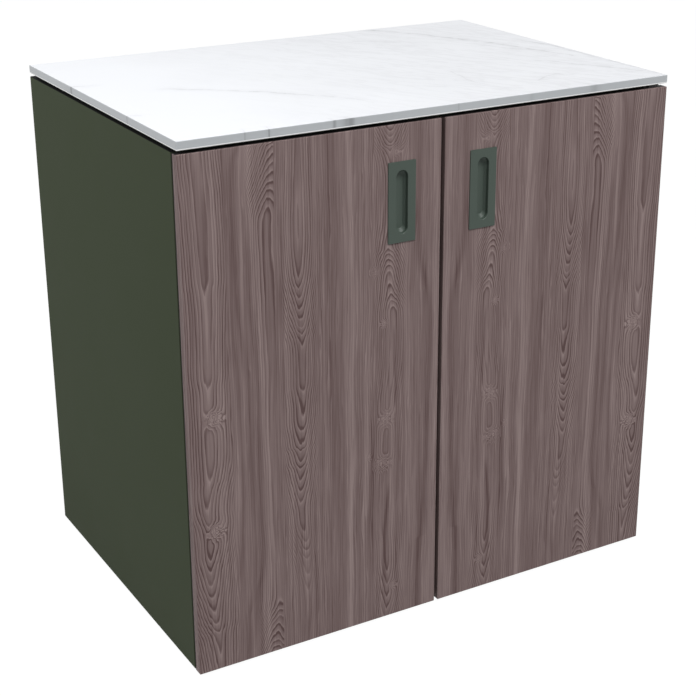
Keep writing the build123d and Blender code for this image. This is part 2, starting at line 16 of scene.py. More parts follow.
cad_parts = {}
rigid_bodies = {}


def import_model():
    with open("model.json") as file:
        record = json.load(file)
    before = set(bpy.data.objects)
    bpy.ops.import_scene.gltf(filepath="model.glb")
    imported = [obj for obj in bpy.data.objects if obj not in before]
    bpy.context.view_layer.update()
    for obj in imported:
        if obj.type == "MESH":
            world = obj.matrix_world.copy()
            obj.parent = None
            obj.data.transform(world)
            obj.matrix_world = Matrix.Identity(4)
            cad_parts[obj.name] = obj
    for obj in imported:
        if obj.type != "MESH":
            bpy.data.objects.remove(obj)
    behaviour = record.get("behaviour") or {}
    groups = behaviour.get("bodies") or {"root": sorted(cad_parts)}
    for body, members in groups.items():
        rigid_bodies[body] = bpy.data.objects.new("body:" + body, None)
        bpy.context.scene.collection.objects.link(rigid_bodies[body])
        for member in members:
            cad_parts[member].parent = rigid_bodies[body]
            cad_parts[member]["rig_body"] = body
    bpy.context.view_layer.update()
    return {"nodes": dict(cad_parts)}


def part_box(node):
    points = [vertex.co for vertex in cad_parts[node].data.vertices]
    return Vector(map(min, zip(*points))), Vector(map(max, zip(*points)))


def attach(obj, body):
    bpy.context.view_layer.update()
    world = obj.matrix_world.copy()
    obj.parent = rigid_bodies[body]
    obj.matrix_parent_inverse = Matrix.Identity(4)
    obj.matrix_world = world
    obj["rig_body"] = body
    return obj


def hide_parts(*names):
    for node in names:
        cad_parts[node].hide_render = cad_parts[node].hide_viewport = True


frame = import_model()
parts = frame["nodes"]
MM = 0.001

# %% [markdown]
# ## Camera
# The photograph was taken from the front left, a little above the worktop, with a long lens, so upright
# lines stay nearly parallel. The place, the angles and the lens were fitted to the cabinet's corners.
# The lens is shifted slightly, because the picture's middle isn't quite where the camera points.

# %% Camera at the photograph's angle
scene = bpy.context.scene
camera = bpy.data.objects.new("camera", bpy.data.cameras.new("camera"))
scene.collection.objects.link(camera)
scene.camera = camera
camera.location = (-1.2813, -2.2623, 1.4182)
camera.rotation_euler = [math.radians(angle) for angle in (69.327, -0.037, -30.691)]
camera.data.sensor_width = 36
camera.data.lens = 79.23
camera.data.shift_x = -0.0392
camera.data.shift_y = -0.0461
print("camera", round(camera.location.length, 2), "m from the cabinet's foot")

# %% [markdown]
# ## Shader helpers
# A finish is a tree of shader nodes. Three small helpers keep the trees readable: one adds a node and
# fills its sockets, one does a sum with a Math node, and one maps a range of values to another. They work in
# materials, in the world and in node groups alike. A socket knows the tree that it is in as its id_data, so
# the last two need no tree.

# %% Helpers that add shader nodes
def node(tree, kind, inputs=None, **settings):
    """Add a shader node, set its properties, and wire or fill its sockets."""
    made = tree.nodes.new("ShaderNode" + kind)
    for name, value in settings.items():
        setattr(made, name, value)
    for socket, value in (inputs or {}).items():
        if isinstance(value, bpy.types.NodeSocket):
            tree.links.new(value, made.inputs[socket])
        else:
            made.inputs[socket].default_value = value
    return made


def math_node(operation, *values):
    """Add a Math node to the tree of the wired values and return its result."""
    wired = next(value for value in values if isinstance(value, bpy.types.NodeSocket))
    return node(wired.id_data, "Math", dict(enumerate(values)), operation=operation).outputs[0]


def ranged(value, start, end, low, high, kind="LINEAR"):
    """Turn a value from start to end into one from low to high."""
    sockets = {"Value": value, "From Min": start, "From Max": end, "To Min": low, "To Max": high}
    return node(value.id_data, "MapRange", sockets, interpolation_type=kind).outputs["Result"]


print("shader helpers ready")

# %% [markdown]
# ## Studio
# A product like this is shot in a white studio. A uniform pale sky gives soft light from
# everywhere. It looks pure white to the camera, and to metal that mirrors it, through the Light
# Path node, so no extra light has to fall on the cabinet to whiten the background.

# %% Sky
SKY_LIGHT, SKY_WHITE = 0.30, 1.02
scene.view_settings.view_transform = "Standard"
world = bpy.data.worlds.new("studio")
scene.world = world
world.use_nodes = True
sky = world.node_tree
sky.nodes.clear()


def seen_directly(tree):
    """Be 1 where the camera or a reflection looks, and 0 for light that falls on things."""
    rays = node(tree, "LightPath").outputs
    mirrored = math_node("MAXIMUM", rays["Is Glossy Ray"], rays["Is Transmission Ray"])
    return math_node("MAXIMUM", rays["Is Camera Ray"], mirrored)


strength = ranged(seen_directly(sky), 0, 1, SKY_LIGHT, SKY_WHITE)
glow = node(sky, "Background", {"Color": (1, 1, 1, 1), "Strength": strength})
node(sky, "OutputWorld", {"Surface": glow.outputs[0]})
print("sky light", SKY_LIGHT)

# %% [markdown]
# ## Softboxes
# The photograph tells where the light was: the recesses of the pulls are black at the top and bright at
# the bottom, the gap between the doors is dark, and the slab is brightest at the left. So a large softbox
# stands high in front, and a smaller one high at the left, where it grazes the slab and the side panel.

# %% Softboxes
SOFTBOXES = {
    "front softbox": ((0.5, -3.8, 5.7), 2.4, 275),
    "left softbox": ((-2.6, 0.1, 2.4), 1.3, 32),
}
LIT_POINT = Vector((0, 0, 0.45))
for name, (place, size, watts) in SOFTBOXES.items():
    bpy.ops.object.select_all(action="DESELECT")
    bpy.ops.object.light_add(type="AREA", location=place)
    lamp = bpy.context.object
    lamp.name = name
    lamp.data.shape = "RECTANGLE"
    lamp.data.size = lamp.data.size_y = size
    lamp.data.energy = watts
    lamp.rotation_euler = (lamp.location - LIT_POINT).to_track_quat("Z", "Y").to_euler()
    print(name, watts, "W")

# %% [markdown]
# ## Floor
# The floor is one large plane. Its paint is a mix: a diffuse grey, which takes the cabinet's
# shadow and bounces light to its sides, and a share of plain white that only the camera and
# reflections see. From below the floor is clear, so that a camera under it sees the feet.

# %% Floor
FLOOR_SIZE, FLOOR_TONE, FLOOR_WHITE, FLOOR_GLOW = 40, 0.42, 0.92, 1.06
bpy.ops.object.select_all(action="DESELECT")
bpy.ops.mesh.primitive_plane_add(size=FLOOR_SIZE, location=(0, 0, 0))
floor = bpy.context.object
floor.name = "floor"
floor_paint = bpy.data.materials.new("floor paint")
floor_paint.use_nodes = True
tree = floor_paint.node_tree
tree.nodes.clear()
seen = seen_directly(tree)
matt = node(tree, "BsdfDiffuse", {"Color": ranged(seen, 0, 1, FLOOR_TONE, 1)})
bright = node(tree, "Emission", {"Color": (1, 1, 1, 1), "Strength": FLOOR_GLOW})
share = math_node("MULTIPLY", seen, FLOOR_WHITE)
mixed = node(tree, "MixShader", {"Fac": share, 1: matt.outputs[0], 2: bright.outputs[0]})
clear = node(tree, "BsdfTransparent")
from_below = node(tree, "NewGeometry").outputs["Backfacing"]
one_sided = node(tree, "MixShader", {"Fac": from_below, 1: mixed.outputs[0], 2: clear.outputs[0]})
node(tree, "OutputMaterial", {"Surface": one_sided.outputs[0]})
floor.data.materials.append(floor_paint)
print("floor tone", FLOOR_TONE)

# %% [markdown]
# ## Modelling helpers
# The CAD model gives small fittings their outer shape. Those that show when the doors are open, or from
# below, get a finer model here, built with the same operators that a modeller clicks: a primitive is
# added, then inset, extruded and bevelled. Each model is made once at the origin with its top at height
# zero, looking up, so that it can be copied to every place where the CAD model has that fitting.

# %% Helpers that add and select
def alone(piece):
    """Make one object the only selected and active one."""
    bpy.ops.object.select_all(action="DESELECT")
    piece.select_set(True)
    bpy.context.view_layer.objects.active = piece


def disc(radius, top, depth, sides=40):
    """Add a round or many-sided disc whose top is at a given height."""
    bpy.ops.object.select_all(action="DESELECT")
    bpy.ops.mesh.primitive_cylinder_add(
        vertices=sides, radius=radius * MM, depth=depth * MM, location=(0, 0, (top - depth / 2) * MM)
    )
    bpy.ops.object.transform_apply(location=True, rotation=True, scale=True)
    return bpy.context.object


def hexagon(across_flats, top, depth):
    """Add a six-sided block whose top is at a given height."""
    made = disc(across_flats / 2 / math.cos(math.radians(30)), top, depth, 6)
    made.data.transform(Matrix.Rotation(math.radians(30), 4, "Z"))
    return made


def select(piece, kind, wanted):
    """Go to edit mode with only the faces or edges selected whose middle, in mm, and direction are wanted."""
    alone(piece)
    bpy.ops.object.mode_set(mode="EDIT")
    bpy.ops.mesh.select_mode(type=kind)
    bpy.ops.mesh.select_all(action="DESELECT")
    shape = bmesh.from_edit_mesh(piece.data)
    for element in shape.faces if kind == "FACE" else shape.edges:
        middle = sum((corner.co for corner in element.verts), Vector()) / len(element.verts) / MM
        if kind == "FACE":
            direction = element.normal
        else:
            direction = (element.verts[1].co - element.verts[0].co).normalized()
        if wanted(middle, direction):
            element.select_set(True)
    bmesh.update_edit_mesh(piece.data)


def select_all_of(piece):
    """Go to edit mode with the whole mesh selected."""
    alone(piece)
    bpy.ops.object.mode_set(mode="EDIT")
    bpy.ops.mesh.select_all(action="SELECT")


def done():
    """Leave edit mode."""
    bpy.ops.object.mode_set(mode="OBJECT")


def copy_of(model, name, move=Matrix()):
    """Copy an object with its own mesh, and move that mesh."""
    copy = bpy.data.objects.new(name, model.data.copy())
    copy.data.transform(move)
    scene.collection.objects.link(copy)
    return copy


def join(first, *others):
    """Join pieces to the first one."""
    alone(first)
    for other in others:
        other.select_set(True)
    bpy.ops.object.join()


print("helpers ready")

# %% [markdown]
# Round fittings are turned on a lathe, so two helpers work as a lathe does, on a disc: one
# rounds a rim, and the other takes the flat face at some height and steps it in, up or down.

# %% Helpers that turn a disc
NEARLY = 1e-3


def round_rim(piece, height, amount, segments=4):
    """Bevel the rim of a disc at a height."""
    select(piece, "EDGE", lambda middle, along: abs(middle.z - height) < NEARLY and middle.xy.length > NEARLY)
    bpy.ops.mesh.bevel(offset=amount * MM, segments=segments)
    done()


def step(piece, height, up, inset, move, taper=1.0):
    """Inset the flat face at a height, push it up or down, and scale it by the taper."""
    select(piece, "FACE", lambda middle, normal: abs(middle.z - height) < NEARLY and normal.z * up > 0.9)
    if inset:
        bpy.ops.mesh.inset(thickness=inset * MM)
    bpy.ops.mesh.extrude_region_move(TRANSFORM_OT_translate={"value": (0, 0, move * MM)})
    if taper != 1.0:
        bpy.ops.transform.resize(value=(taper, taper, 1))
    done()


print("lathe ready")

# %% [markdown]
# A screw's cross recess and a stem's hexagon socket are cut out with the Boolean modifier. A
# cross is cut by two tapered blocks, so that it is wide at its mouth and narrow at its floor,
# as the punch that makes a real one.

# %% Helpers that cut and smooth
BLADE_TAPER = 0.55


def cut(piece, cutter):
    """Take one shape out of another and delete the cutter."""
    alone(piece)
    modifier = piece.modifiers.new("cut", "BOOLEAN")
    modifier.operation = "DIFFERENCE"
    modifier.solver = "EXACT"
    modifier.object = cutter
    bpy.ops.object.modifier_apply(modifier=modifier.name)
    bpy.data.objects.remove(cutter)


def cut_cross(piece, top, length, width, depth):
    """Punch a cross recess into a screw head."""
    for size in ((length, width), (width, length)):
        bpy.ops.object.select_all(action="DESELECT")
        bpy.ops.mesh.primitive_cube_add(size=1, scale=(size[0] * MM, size[1] * MM, 2 * depth * MM))
        bpy.ops.object.transform_apply(location=True, rotation=True, scale=True)
        blade = bpy.context.object
        select(blade, "FACE", lambda middle, normal: normal.z < -0.9)
        bpy.ops.transform.resize(value=(BLADE_TAPER, BLADE_TAPER, 1))
        done()
        blade.data.transform(Matrix.Translation((0, 0, top * MM)))
        cut(piece, blade)


def smooth(piece, angle=35):
    """Shade round stretches smooth, keep creases crisp and keep flat faces flat."""
    alone(piece)
    bpy.ops.object.shade_smooth_by_angle(angle=math.radians(angle))
    evened = piece.modifiers.new("evened", "WEIGHTED_NORMAL")
    evened.keep_sharp = True
    bpy.ops.object.modifier_apply(modifier=evened.name)


print("cutters ready")

# %% [markdown]
# ## Putting a model in place
# A CAD part such as the cup screws holds several equal solids. Merging its loose triangles and
# separating them by loose parts tells where each solid is.

# %% Helper that finds the solids of a part
def solids_of(part):
    """Give the lowest and highest corner of each solid in a CAD part."""
    select_all_of(copy_of(part, "measured"))
    bpy.ops.mesh.remove_doubles(threshold=0.001 * MM)
    bpy.ops.mesh.separate(type="LOOSE")
    done()
    boxes = []
    for solid in list(bpy.context.selected_objects):
        corners = [vertex.co.copy() for vertex in solid.data.vertices]
        boxes.append([Vector([edge(c[axis] for c in corners) for axis in range(3)]) for edge in (min, max)])
        bpy.data.objects.remove(solid)
    return sorted(boxes, key=lambda box: tuple(round(value, 4) for value in box[0]))


print("finder ready")

# %% [markdown]
# A copy of the model goes to each of those places. The copies are joined to one piece, and that
# piece replaces the CAD part and moves with the same body.

# %% Helpers that place a model
SIDES = {"left": 1, "right": -1}
pieces = {}


def stand_in(model, part_name, out, slot):
    """Let joined copies of a model, looking along out from each solid, replace a CAD part."""
    out = Vector(out)
    turn = Vector((0, 0, 1)).rotation_difference(out).to_matrix().to_4x4()
    copies = []
    for low, high in solids_of(parts[part_name]):
        reach = (high - low) * 0.5
        top = (low + high) * 0.5 + Vector([out[axis] * reach[axis] for axis in range(3)])
        copies.append(copy_of(model, part_name + "_detailed", Matrix.Translation(top) @ turn))
    piece = copies[0]
    if len(copies) > 1:
        join(*copies)
    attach(piece, parts[part_name]["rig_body"])
    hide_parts(part_name)
    pieces[piece.name] = (piece, slot)
    print(part_name, "x", len(copies), "with", len(piece.data.polygons), "faces")


def stand_in_both(model, family, out, slot):
    """Let copies of a model replace the left and the right part of a family, and delete the model."""
    for side in SIDES:
        stand_in(model, family + "_" + side, out, slot)
    bpy.data.objects.remove(model)


print("placing helpers ready")

# %% [markdown]
# ## Flush pulls
# Each door has a cast pull: a flat plate with a long finger recess, and behind it a pocket that sits in
# the door. A caster gives such a recess slightly leaning walls and a well rounded floor, so that the
# casting leaves its mould and a finger or a cloth reaches every corner. The recess could be cut with a
# Boolean, but one outline that is extruded ring by ring, from the recess's floor over the rim and round
# the plate to the back of the pocket, gives clean quads all the way, and every ring can be placed exactly.

# %% Helper that moves one rounded corner
CORNERS = ((1, 1), (1, -1), (-1, 1), (-1, -1))


def move_corner(piece, loop, corner, old, new):
    """Scale and shift one corner of a ring, so that an old ring's outline becomes the new one's."""
    side, end = corner
    shape = bmesh.from_edit_mesh(piece.data)
    shape.verts.ensure_lookup_table()
    bpy.ops.mesh.select_mode(type="VERT")
    bpy.ops.mesh.select_all(action="DESELECT")
    for index in loop:
        place = shape.verts[index].co
        shape.verts[index].select_set(place.x * side > 0 and place.y * end > 0)
    bmesh.update_edit_mesh(piece.data)
    (half_x, half_y, radius, _), (new_x, new_y, new_radius, level) = old, new
    grow = new_radius / radius
    centre = (side * (half_x - radius) * MM, end * (half_y - radius) * MM, level * MM)
    shift = (new_x - new_radius - half_x + radius, new_y - new_radius - half_y + radius)
    bpy.ops.transform.resize(value=(grow, grow, 1), center_override=centre)
    bpy.ops.transform.translate(value=(side * shift[0] * MM, end * shift[1] * MM, 0))


print(len(CORNERS), "corners")

# %% Helper that walks an outline through rings
CORNER_SEGMENTS = 12


def ring_walk(rings):
    """Extrude a rounded outline through rings of half width, half height, corner radius and level, in mm."""
    half_x, half_y, radius, level = rings[0]
    bpy.ops.object.select_all(action="DESELECT")
    bpy.ops.mesh.primitive_plane_add(size=2, location=(0, 0, level * MM))
    bpy.context.object.scale = (half_x * MM, half_y * MM, 1)
    bpy.ops.object.transform_apply(location=True, rotation=True, scale=True)
    piece = bpy.context.object
    select_all_of(piece)
    bpy.ops.mesh.bevel(offset=radius * MM, affect="VERTICES", segments=CORNER_SEGMENTS)
    bpy.ops.mesh.select_mode(type="EDGE")
    bpy.ops.mesh.select_all(action="SELECT")
    for old, new in zip(rings, rings[1:]):
        bpy.ops.mesh.extrude_edges_move(TRANSFORM_OT_translate={"value": (0, 0, (new[3] - old[3]) * MM)})
        loop = [vertex.index for vertex in bmesh.from_edit_mesh(piece.data).verts if vertex.select]
        for corner in CORNERS:
            move_corner(piece, loop, corner, old, new)
        bpy.ops.mesh.select_mode(type="EDGE")
        bpy.ops.mesh.select_all(action="DESELECT")
        for edge in bmesh.from_edit_mesh(piece.data).edges:
            if all(vertex.index in loop for vertex in edge.verts):
                edge.select_set(True)
        bmesh.update_edit_mesh(piece.data)
    bpy.ops.mesh.edge_face_add()
    bpy.ops.mesh.select_all(action="SELECT")
    bpy.ops.mesh.normals_make_consistent(inside=False)
    done()
    return piece


print("ring helper ready")

# %% Plate, recess and pocket
pull_low, pull_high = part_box("flush_pull_left")
PULL_X, PULL_Y = (pull_high.x - pull_low.x) / 2 / MM, (pull_high.z - pull_low.z) / 2 / MM
PLATE, PLATE_CORNER, PLATE_ROUND = 2.0, 1.6, 0.5
RIM_X, RIM_Y, RIM, RECESS_DEPTH = 11.0, 52.0, 0.55, 10.4
WALL, POCKET_LEAN, POCKET_BACK = 1.2, 7.8, 1.6
SLOPE = ((4.4, 7.0, 0), (3.8, 6.1, 0.2), (0.8, 1.2, 4.0), (0.25, 0.3, 5.0))


def slot_ring(out, level, flat):
    """Give a ring that runs round the finger recess. Its short ends keep a flat bit between their corners."""
    return RIM_X + out, RIM_Y + out, RIM_X + out - flat, level


rings = []
for inwards_x, inwards_y, above_floor in SLOPE:
    across = RIM_X - RIM - inwards_x
    rings.append((across, RIM_Y - RIM - inwards_y, across - 0.05, above_floor - RECESS_DEPTH))
rings += [
    slot_ring(-RIM, -0.5, 0.05),
    slot_ring(0, 0, 0.05),
    (PULL_X - PLATE_ROUND, PULL_Y - PLATE_ROUND, PLATE_CORNER - 0.4, 0),
    (PULL_X - 0.15, PULL_Y - 0.15, PLATE_CORNER - 0.1, -0.15),
    (PULL_X, PULL_Y, PLATE_CORNER, -PLATE_ROUND),
    (PULL_X, PULL_Y, PLATE_CORNER, -PLATE),
    slot_ring(WALL, -PLATE, 0.1),
    slot_ring(WALL - 0.1, -POCKET_LEAN, 0.1),
    slot_ring(0.2, -RECESS_DEPTH + 0.2, 0.1),
    slot_ring(-2.0, -RECESS_DEPTH - POCKET_BACK, 0.1),
]
plate = ring_walk(rings)
print("plate, recess and pocket in", len(rings), "rings,", len(plate.data.polygons), "faces")

# %% Bosses and copies
BOSS_RADIUS, BOSS_LENGTH, BOSS_HOLE, BOSS_FROM_END, BOSS_FLOOR = 3.5, 9.0, 2.0, 6.5, 1.0
SUNK_IN_PLATE = 1.0
boss = disc(BOSS_RADIUS, -SUNK_IN_PLATE, BOSS_LENGTH + PLATE - SUNK_IN_PLATE, 32)
step(boss, -BOSS_LENGTH - PLATE, -1, BOSS_RADIUS - BOSS_HOLE, BOSS_LENGTH - BOSS_FLOOR)
for end in (-1, 1):
    up = Matrix.Translation((0, end * (PULL_Y - BOSS_FROM_END) * MM, 0))
    join(plate, copy_of(boss, "boss", up))
bpy.data.objects.remove(boss)
smooth(plate, 40)
stand_in_both(plate, "flush_pull", (0, -1, 0), "pull_green")

# %% [markdown]
# ## Cup screws
# Two short screws hold each hinge cup to its door. They have a low pan head with a cross recess. The head
# is a disc whose upper rim gets a wide bevel, and the shank is extruded from its underside to a blunt tip.

# %% Cup screws
HEAD_RADIUS, HEAD_HEIGHT, HEAD_ROUND, SHANK_RADIUS, TIP = 3.4, 1.3, 0.8, 1.8, 1.5
screw_box = solids_of(parts["cup_screws_left"])[0]
screw_length = (screw_box[1].y - screw_box[0].y) / MM
cup_screw = disc(HEAD_RADIUS, 0, HEAD_HEIGHT)
round_rim(cup_screw, 0, HEAD_ROUND)
step(cup_screw, -HEAD_HEIGHT, -1, HEAD_RADIUS - SHANK_RADIUS, -(screw_length - HEAD_HEIGHT - TIP))
step(cup_screw, -(screw_length - TIP), -1, 0, -TIP, taper=0.35)
cut_cross(cup_screw, 0, length=4.2, width=0.95, depth=0.85)
smooth(cup_screw)
stand_in_both(cup_screw, "cup_screws", (0, 1, 0), "hinge_steel")

# %% [markdown]
# ## Blind rivets
# The trays are riveted to the side walls from inside. A blind rivet's domed head keeps a hole in its
# middle, with the broken end of the pulling pin down in it, and behind the sheets its tail is swollen.
# The whole rivet is turned from one disc: bevel the rim, then inset and extrude on both faces.

# %% Blind rivets
RIVET_RADIUS, RIVET_HEAD, RIVET_SHANK, RIVET_TAIL = 4.5, 1.4, 2.4, 3.2
SHEETS, TAIL_LENGTH, TAIL_SWELL = 6.0, 4.0, 0.6
PIN_HOLE, PIN_GAP, PIN_RISE = 0.9, 0.3, 0.5
rivet = disc(RIVET_RADIUS, 0, RIVET_HEAD, 28)
round_rim(rivet, 0, 1.1)
step(rivet, 0, 1, 2.0, -PIN_HOLE)
step(rivet, -PIN_HOLE, 1, PIN_GAP, PIN_RISE)
step(rivet, -RIVET_HEAD, -1, RIVET_RADIUS - RIVET_SHANK, -SHEETS)
step(rivet, -RIVET_HEAD - SHEETS, -1, 0, -TAIL_SWELL, RIVET_TAIL / RIVET_SHANK)
step(rivet, -RIVET_HEAD - SHEETS - TAIL_SWELL, -1, 0, TAIL_SWELL - TAIL_LENGTH)
round_rim(rivet, -RIVET_HEAD - SHEETS - TAIL_LENGTH, 0.8, 2)
smooth(rivet)
for side, inwards in SIDES.items():
    stand_in(rivet, "blind_rivets_" + side, (inwards, 0, 0), "rivet_green")
bpy.data.objects.remove(rivet)

# %% [markdown]
# ## Threaded stems of the levelling feet
# A foot's stem is an M10 thread with a hexagon collar for a spanner and a hexagon socket on
# top, which is turned from inside the cabinet. The thread is a small triangle that the Screw
# modifier winds up around a core, once per turn. A real thread is cut into the bar, but a wound
# ridge on a thinner core looks the same.

# %% Threaded stems
STEM_RADIUS, PITCH, CORE_RADIUS = 5.0, 1.5, 4.15
COLLAR, COLLAR_HEIGHT, NECK = 15.0, 5.0, 4.0
SOCKET, SOCKET_DEPTH = 5.0, 6.0
stem_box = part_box("foot_stem_front_left")
stem_length = (stem_box[1].z - stem_box[0].z) / MM
collar_top = NECK + COLLAR_HEIGHT - stem_length
turns = int((-collar_top - 1.0) / PITCH) - 1
bpy.ops.object.select_all(action="DESELECT")
ridge = STEM_RADIUS - CORE_RADIUS
bpy.ops.mesh.primitive_circle_add(vertices=3, radius=ridge * MM, fill_type="NGON")
thread = bpy.context.object
SUNK, HALF_RIDGE = 0.2, 0.45 * PITCH
corners = [(STEM_RADIUS, 0.0), (CORE_RADIUS - SUNK, HALF_RIDGE), (CORE_RADIUS - SUNK, -HALF_RIDGE)]
for corner, (out, up) in zip(thread.data.vertices, corners):
    corner.co = (out * MM, 0, (collar_top + 0.5 * PITCH + up) * MM)
winding = thread.modifiers.new("winding", "SCREW")
winding.axis = "Z"
winding.steps = winding.render_steps = 28
winding.iterations = turns
winding.screw_offset = PITCH * MM
alone(thread)
bpy.ops.object.modifier_apply(modifier=winding.name)
select_all_of(thread)
bpy.ops.mesh.fill_holes(sides=3)
done()
print("thread of", turns, "turns,", len(thread.data.polygons), "faces")

# %% Stem, collar and socket
core = disc(CORE_RADIUS, 0, stem_length - 1)
round_rim(core, 0, 0.6, 2)
cut(core, hexagon(SOCKET, 1, SOCKET_DEPTH + 1))
neck = disc(STEM_RADIUS, NECK - stem_length + 1, NECK + 1)
collar = hexagon(COLLAR, collar_top, COLLAR_HEIGHT)
select(collar, "EDGE", lambda middle, along: True)
bpy.ops.mesh.bevel(offset=0.5 * MM, segments=2)
done()
join(core, thread, neck, collar)
select_all_of(core)
bpy.ops.mesh.normals_make_consistent(inside=False)
done()
smooth(core)
for corner_name in ("front_left", "front_right", "rear_left", "rear_right"):
    stand_in(core, "foot_stem_" + corner_name, (0, 0, 1), "hinge_steel")
bpy.data.objects.remove(core)

# %% [markdown]
# ## Strike discs and magnetic catches
# Each door is held shut by a round magnet in the front rail, which meets a steel disc on the
# door. The disc is flat, so that the magnet grips it, with a countersunk screw in its middle.
# The catch is a plastic sleeve with a collar, and the magnet sits a little below its rim.

# %% Strike discs
STRIKE_RADIUS, STRIKE_THICKNESS, PEG_RADIUS, PEG = 9.0, 1.6, 2.5, 8.0
SINK_BORDER, SINK_DEPTH, SCREW_GAP, SCREW_RISE = 4.9, 0.45, 0.15, 0.35
strike = disc(STRIKE_RADIUS, 0, STRIKE_THICKNESS)
round_rim(strike, 0, 0.35, 3)
step(strike, 0, 1, SINK_BORDER, -SINK_DEPTH, taper=0.9)
step(strike, -SINK_DEPTH, 1, SCREW_GAP, SCREW_RISE, taper=0.95)
step(strike, -STRIKE_THICKNESS, -1, STRIKE_RADIUS - PEG_RADIUS, -PEG)
cut_cross(strike, SCREW_RISE - SINK_DEPTH, length=3.8, width=0.9, depth=0.8)
smooth(strike)
stand_in_both(strike, "strike_disc", (0, 1, 0), "hinge_steel")

# %% Magnetic catches
COLLAR_RADIUS, COLLAR_THICKNESS, SLEEVE_RADIUS, SLEEVE_LENGTH = 9.5, 1.4, 7.0, 16.0
COLLAR_ROUND, MAGNET_RADIUS, MAGNET_GAP, MAGNET_BELOW = 0.5, 5.6, 0.15, 0.2
sleeve = disc(COLLAR_RADIUS, 0, COLLAR_THICKNESS)
round_rim(sleeve, 0, COLLAR_ROUND, 3)
step(sleeve, 0, 1, COLLAR_RADIUS - COLLAR_ROUND - MAGNET_RADIUS - MAGNET_GAP, -1.0)
step(sleeve, -COLLAR_THICKNESS, -1, COLLAR_RADIUS - SLEEVE_RADIUS, -SLEEVE_LENGTH, taper=0.97)
round_rim(sleeve, -COLLAR_THICKNESS - SLEEVE_LENGTH, 0.8, 2)
smooth(sleeve)
magnet = disc(MAGNET_RADIUS, -MAGNET_BELOW, 0.9)
round_rim(magnet, -MAGNET_BELOW, 0.3, 2)
step(magnet, -MAGNET_BELOW, 1, 1.4, -0.12, taper=0.98)
smooth(magnet)
for side in SIDES:
    stand_in(sleeve, "magnetic_catch_" + side, (0, -1, 0), "catch_plastic")
    low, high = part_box("magnetic_catch_" + side)
    front = Matrix.Translation(((low.x + high.x) / 2, low.y, (low.z + high.z) / 2))
    face = copy_of(magnet, "magnet_" + side, front @ Matrix.Rotation(math.radians(90), 4, "X"))
    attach(face, parts["magnetic_catch_" + side]["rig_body"])
    pieces[face.name] = (face, "hinge_steel")
bpy.data.objects.remove(sleeve)
bpy.data.objects.remove(magnet)

# %% [markdown]
# ## Door bumpers
# Two soft buttons on each door's free edge damp the closing. They are cast domes with an
# adhesive back, so a short disc with a very wide bevel gives their shape.

# %% Door bumpers
low, high = solids_of(parts["door_bumpers_left"])[0]
bumper_radius, bumper_height = (high.x - low.x) / 2 / MM, (high.y - low.y) / MM
bumper = disc(bumper_radius, 0, bumper_height)
round_rim(bumper, 0, 0.8 * bumper_height, 6)
smooth(bumper, 60)
stand_in_both(bumper, "door_bumpers", (0, 1, 0), "bumper_rubber")

# %% [markdown]
# ## Node groups
# An effect that several finishes share is built once as a node group, with named inputs, and
# placed in each material with its own values. These helpers make groups and the sums inside them.

# %% Helpers that build node groups
ORIGIN = (0.0, 0.0, 0.0)


def new_group(name, inputs, outputs):
    """Make a shader node group and return its tree, its input sockets and its output sockets."""
    tree = bpy.data.node_groups.new(name, "ShaderNodeTree")
    for label, default in inputs.items():
        kind = "NodeSocketVector" if isinstance(default, tuple) else "NodeSocketFloat"
        tree.interface.new_socket(label, in_out="INPUT", socket_type=kind).default_value = default
    for label, kind in outputs.items():
        tree.interface.new_socket(label, in_out="OUTPUT", socket_type="NodeSocket" + kind)
    return tree, tree.nodes.new("NodeGroupInput").outputs, tree.nodes.new("NodeGroupOutput").inputs


def add(*values):
    """Add values, a Math node at a time."""
    total = values[0]
    for value in values[1:]:
        total = math_node("ADD", total, value)
    return total


def times(*values):
    """Multiply values, a Math node at a time."""
    product = values[0]
    for value in values[1:]:
        product = math_node("MULTIPLY", product, value)
    return product


def minus(first, second):
    """Subtract one value from another."""
    return math_node("SUBTRACT", first, second)


def fade(value, start, end, low=0.0, high=1.0):
    """Go smoothly from low to high as the value goes from start to end."""
    return ranged(value, start, end, low, high, "SMOOTHSTEP")


def vector(x, y, z=0.0):
    """Join three values to a vector."""
    return node(x.id_data, "CombineXYZ", {"X": x, "Y": y, "Z": z}).outputs[0]


def vector_math(operation, first, second, result="Vector"):
    """Add a Vector Math node and return one of its results."""
    return node(first.id_data, "VectorMath", {0: first, 1: second}, operation=operation).outputs[result]


def scaled(value, by):
    """Scale a vector or a colour by a wired value."""
    return node(by.id_data, "VectorMath", {0: value, "Scale": by}, operation="SCALE").outputs[0]


def millimetres(place):
    """Take a place apart into x, y and z in mm."""
    return [times(axis, 1 / MM) for axis in node(place.id_data, "SeparateXYZ", {"Vector": place}).outputs]


def noise(place, detail=2.0, roughness=0.5):
    """Perlin noise about zero, from about -0.5 to 0.5."""
    sockets = {"Vector": place, "Scale": 1.0, "Detail": detail, "Roughness": roughness}
    return minus(node(place.id_data, "TexNoise", sockets).outputs[0], 0.5)


def use(tree, group, inputs):
    """Place a node group in a tree and return its outputs."""
    return node(tree, "Group", inputs, node_tree=group).outputs


print("group helpers ready")

# %% [markdown]
# Some values follow a curve that is easier to draw than to calculate, such as the middle line
# of a streak. A Float Curve node draws a smooth line through points, and the nodes before and
# after it scale the curve's square from 0 to 1 to the real values.

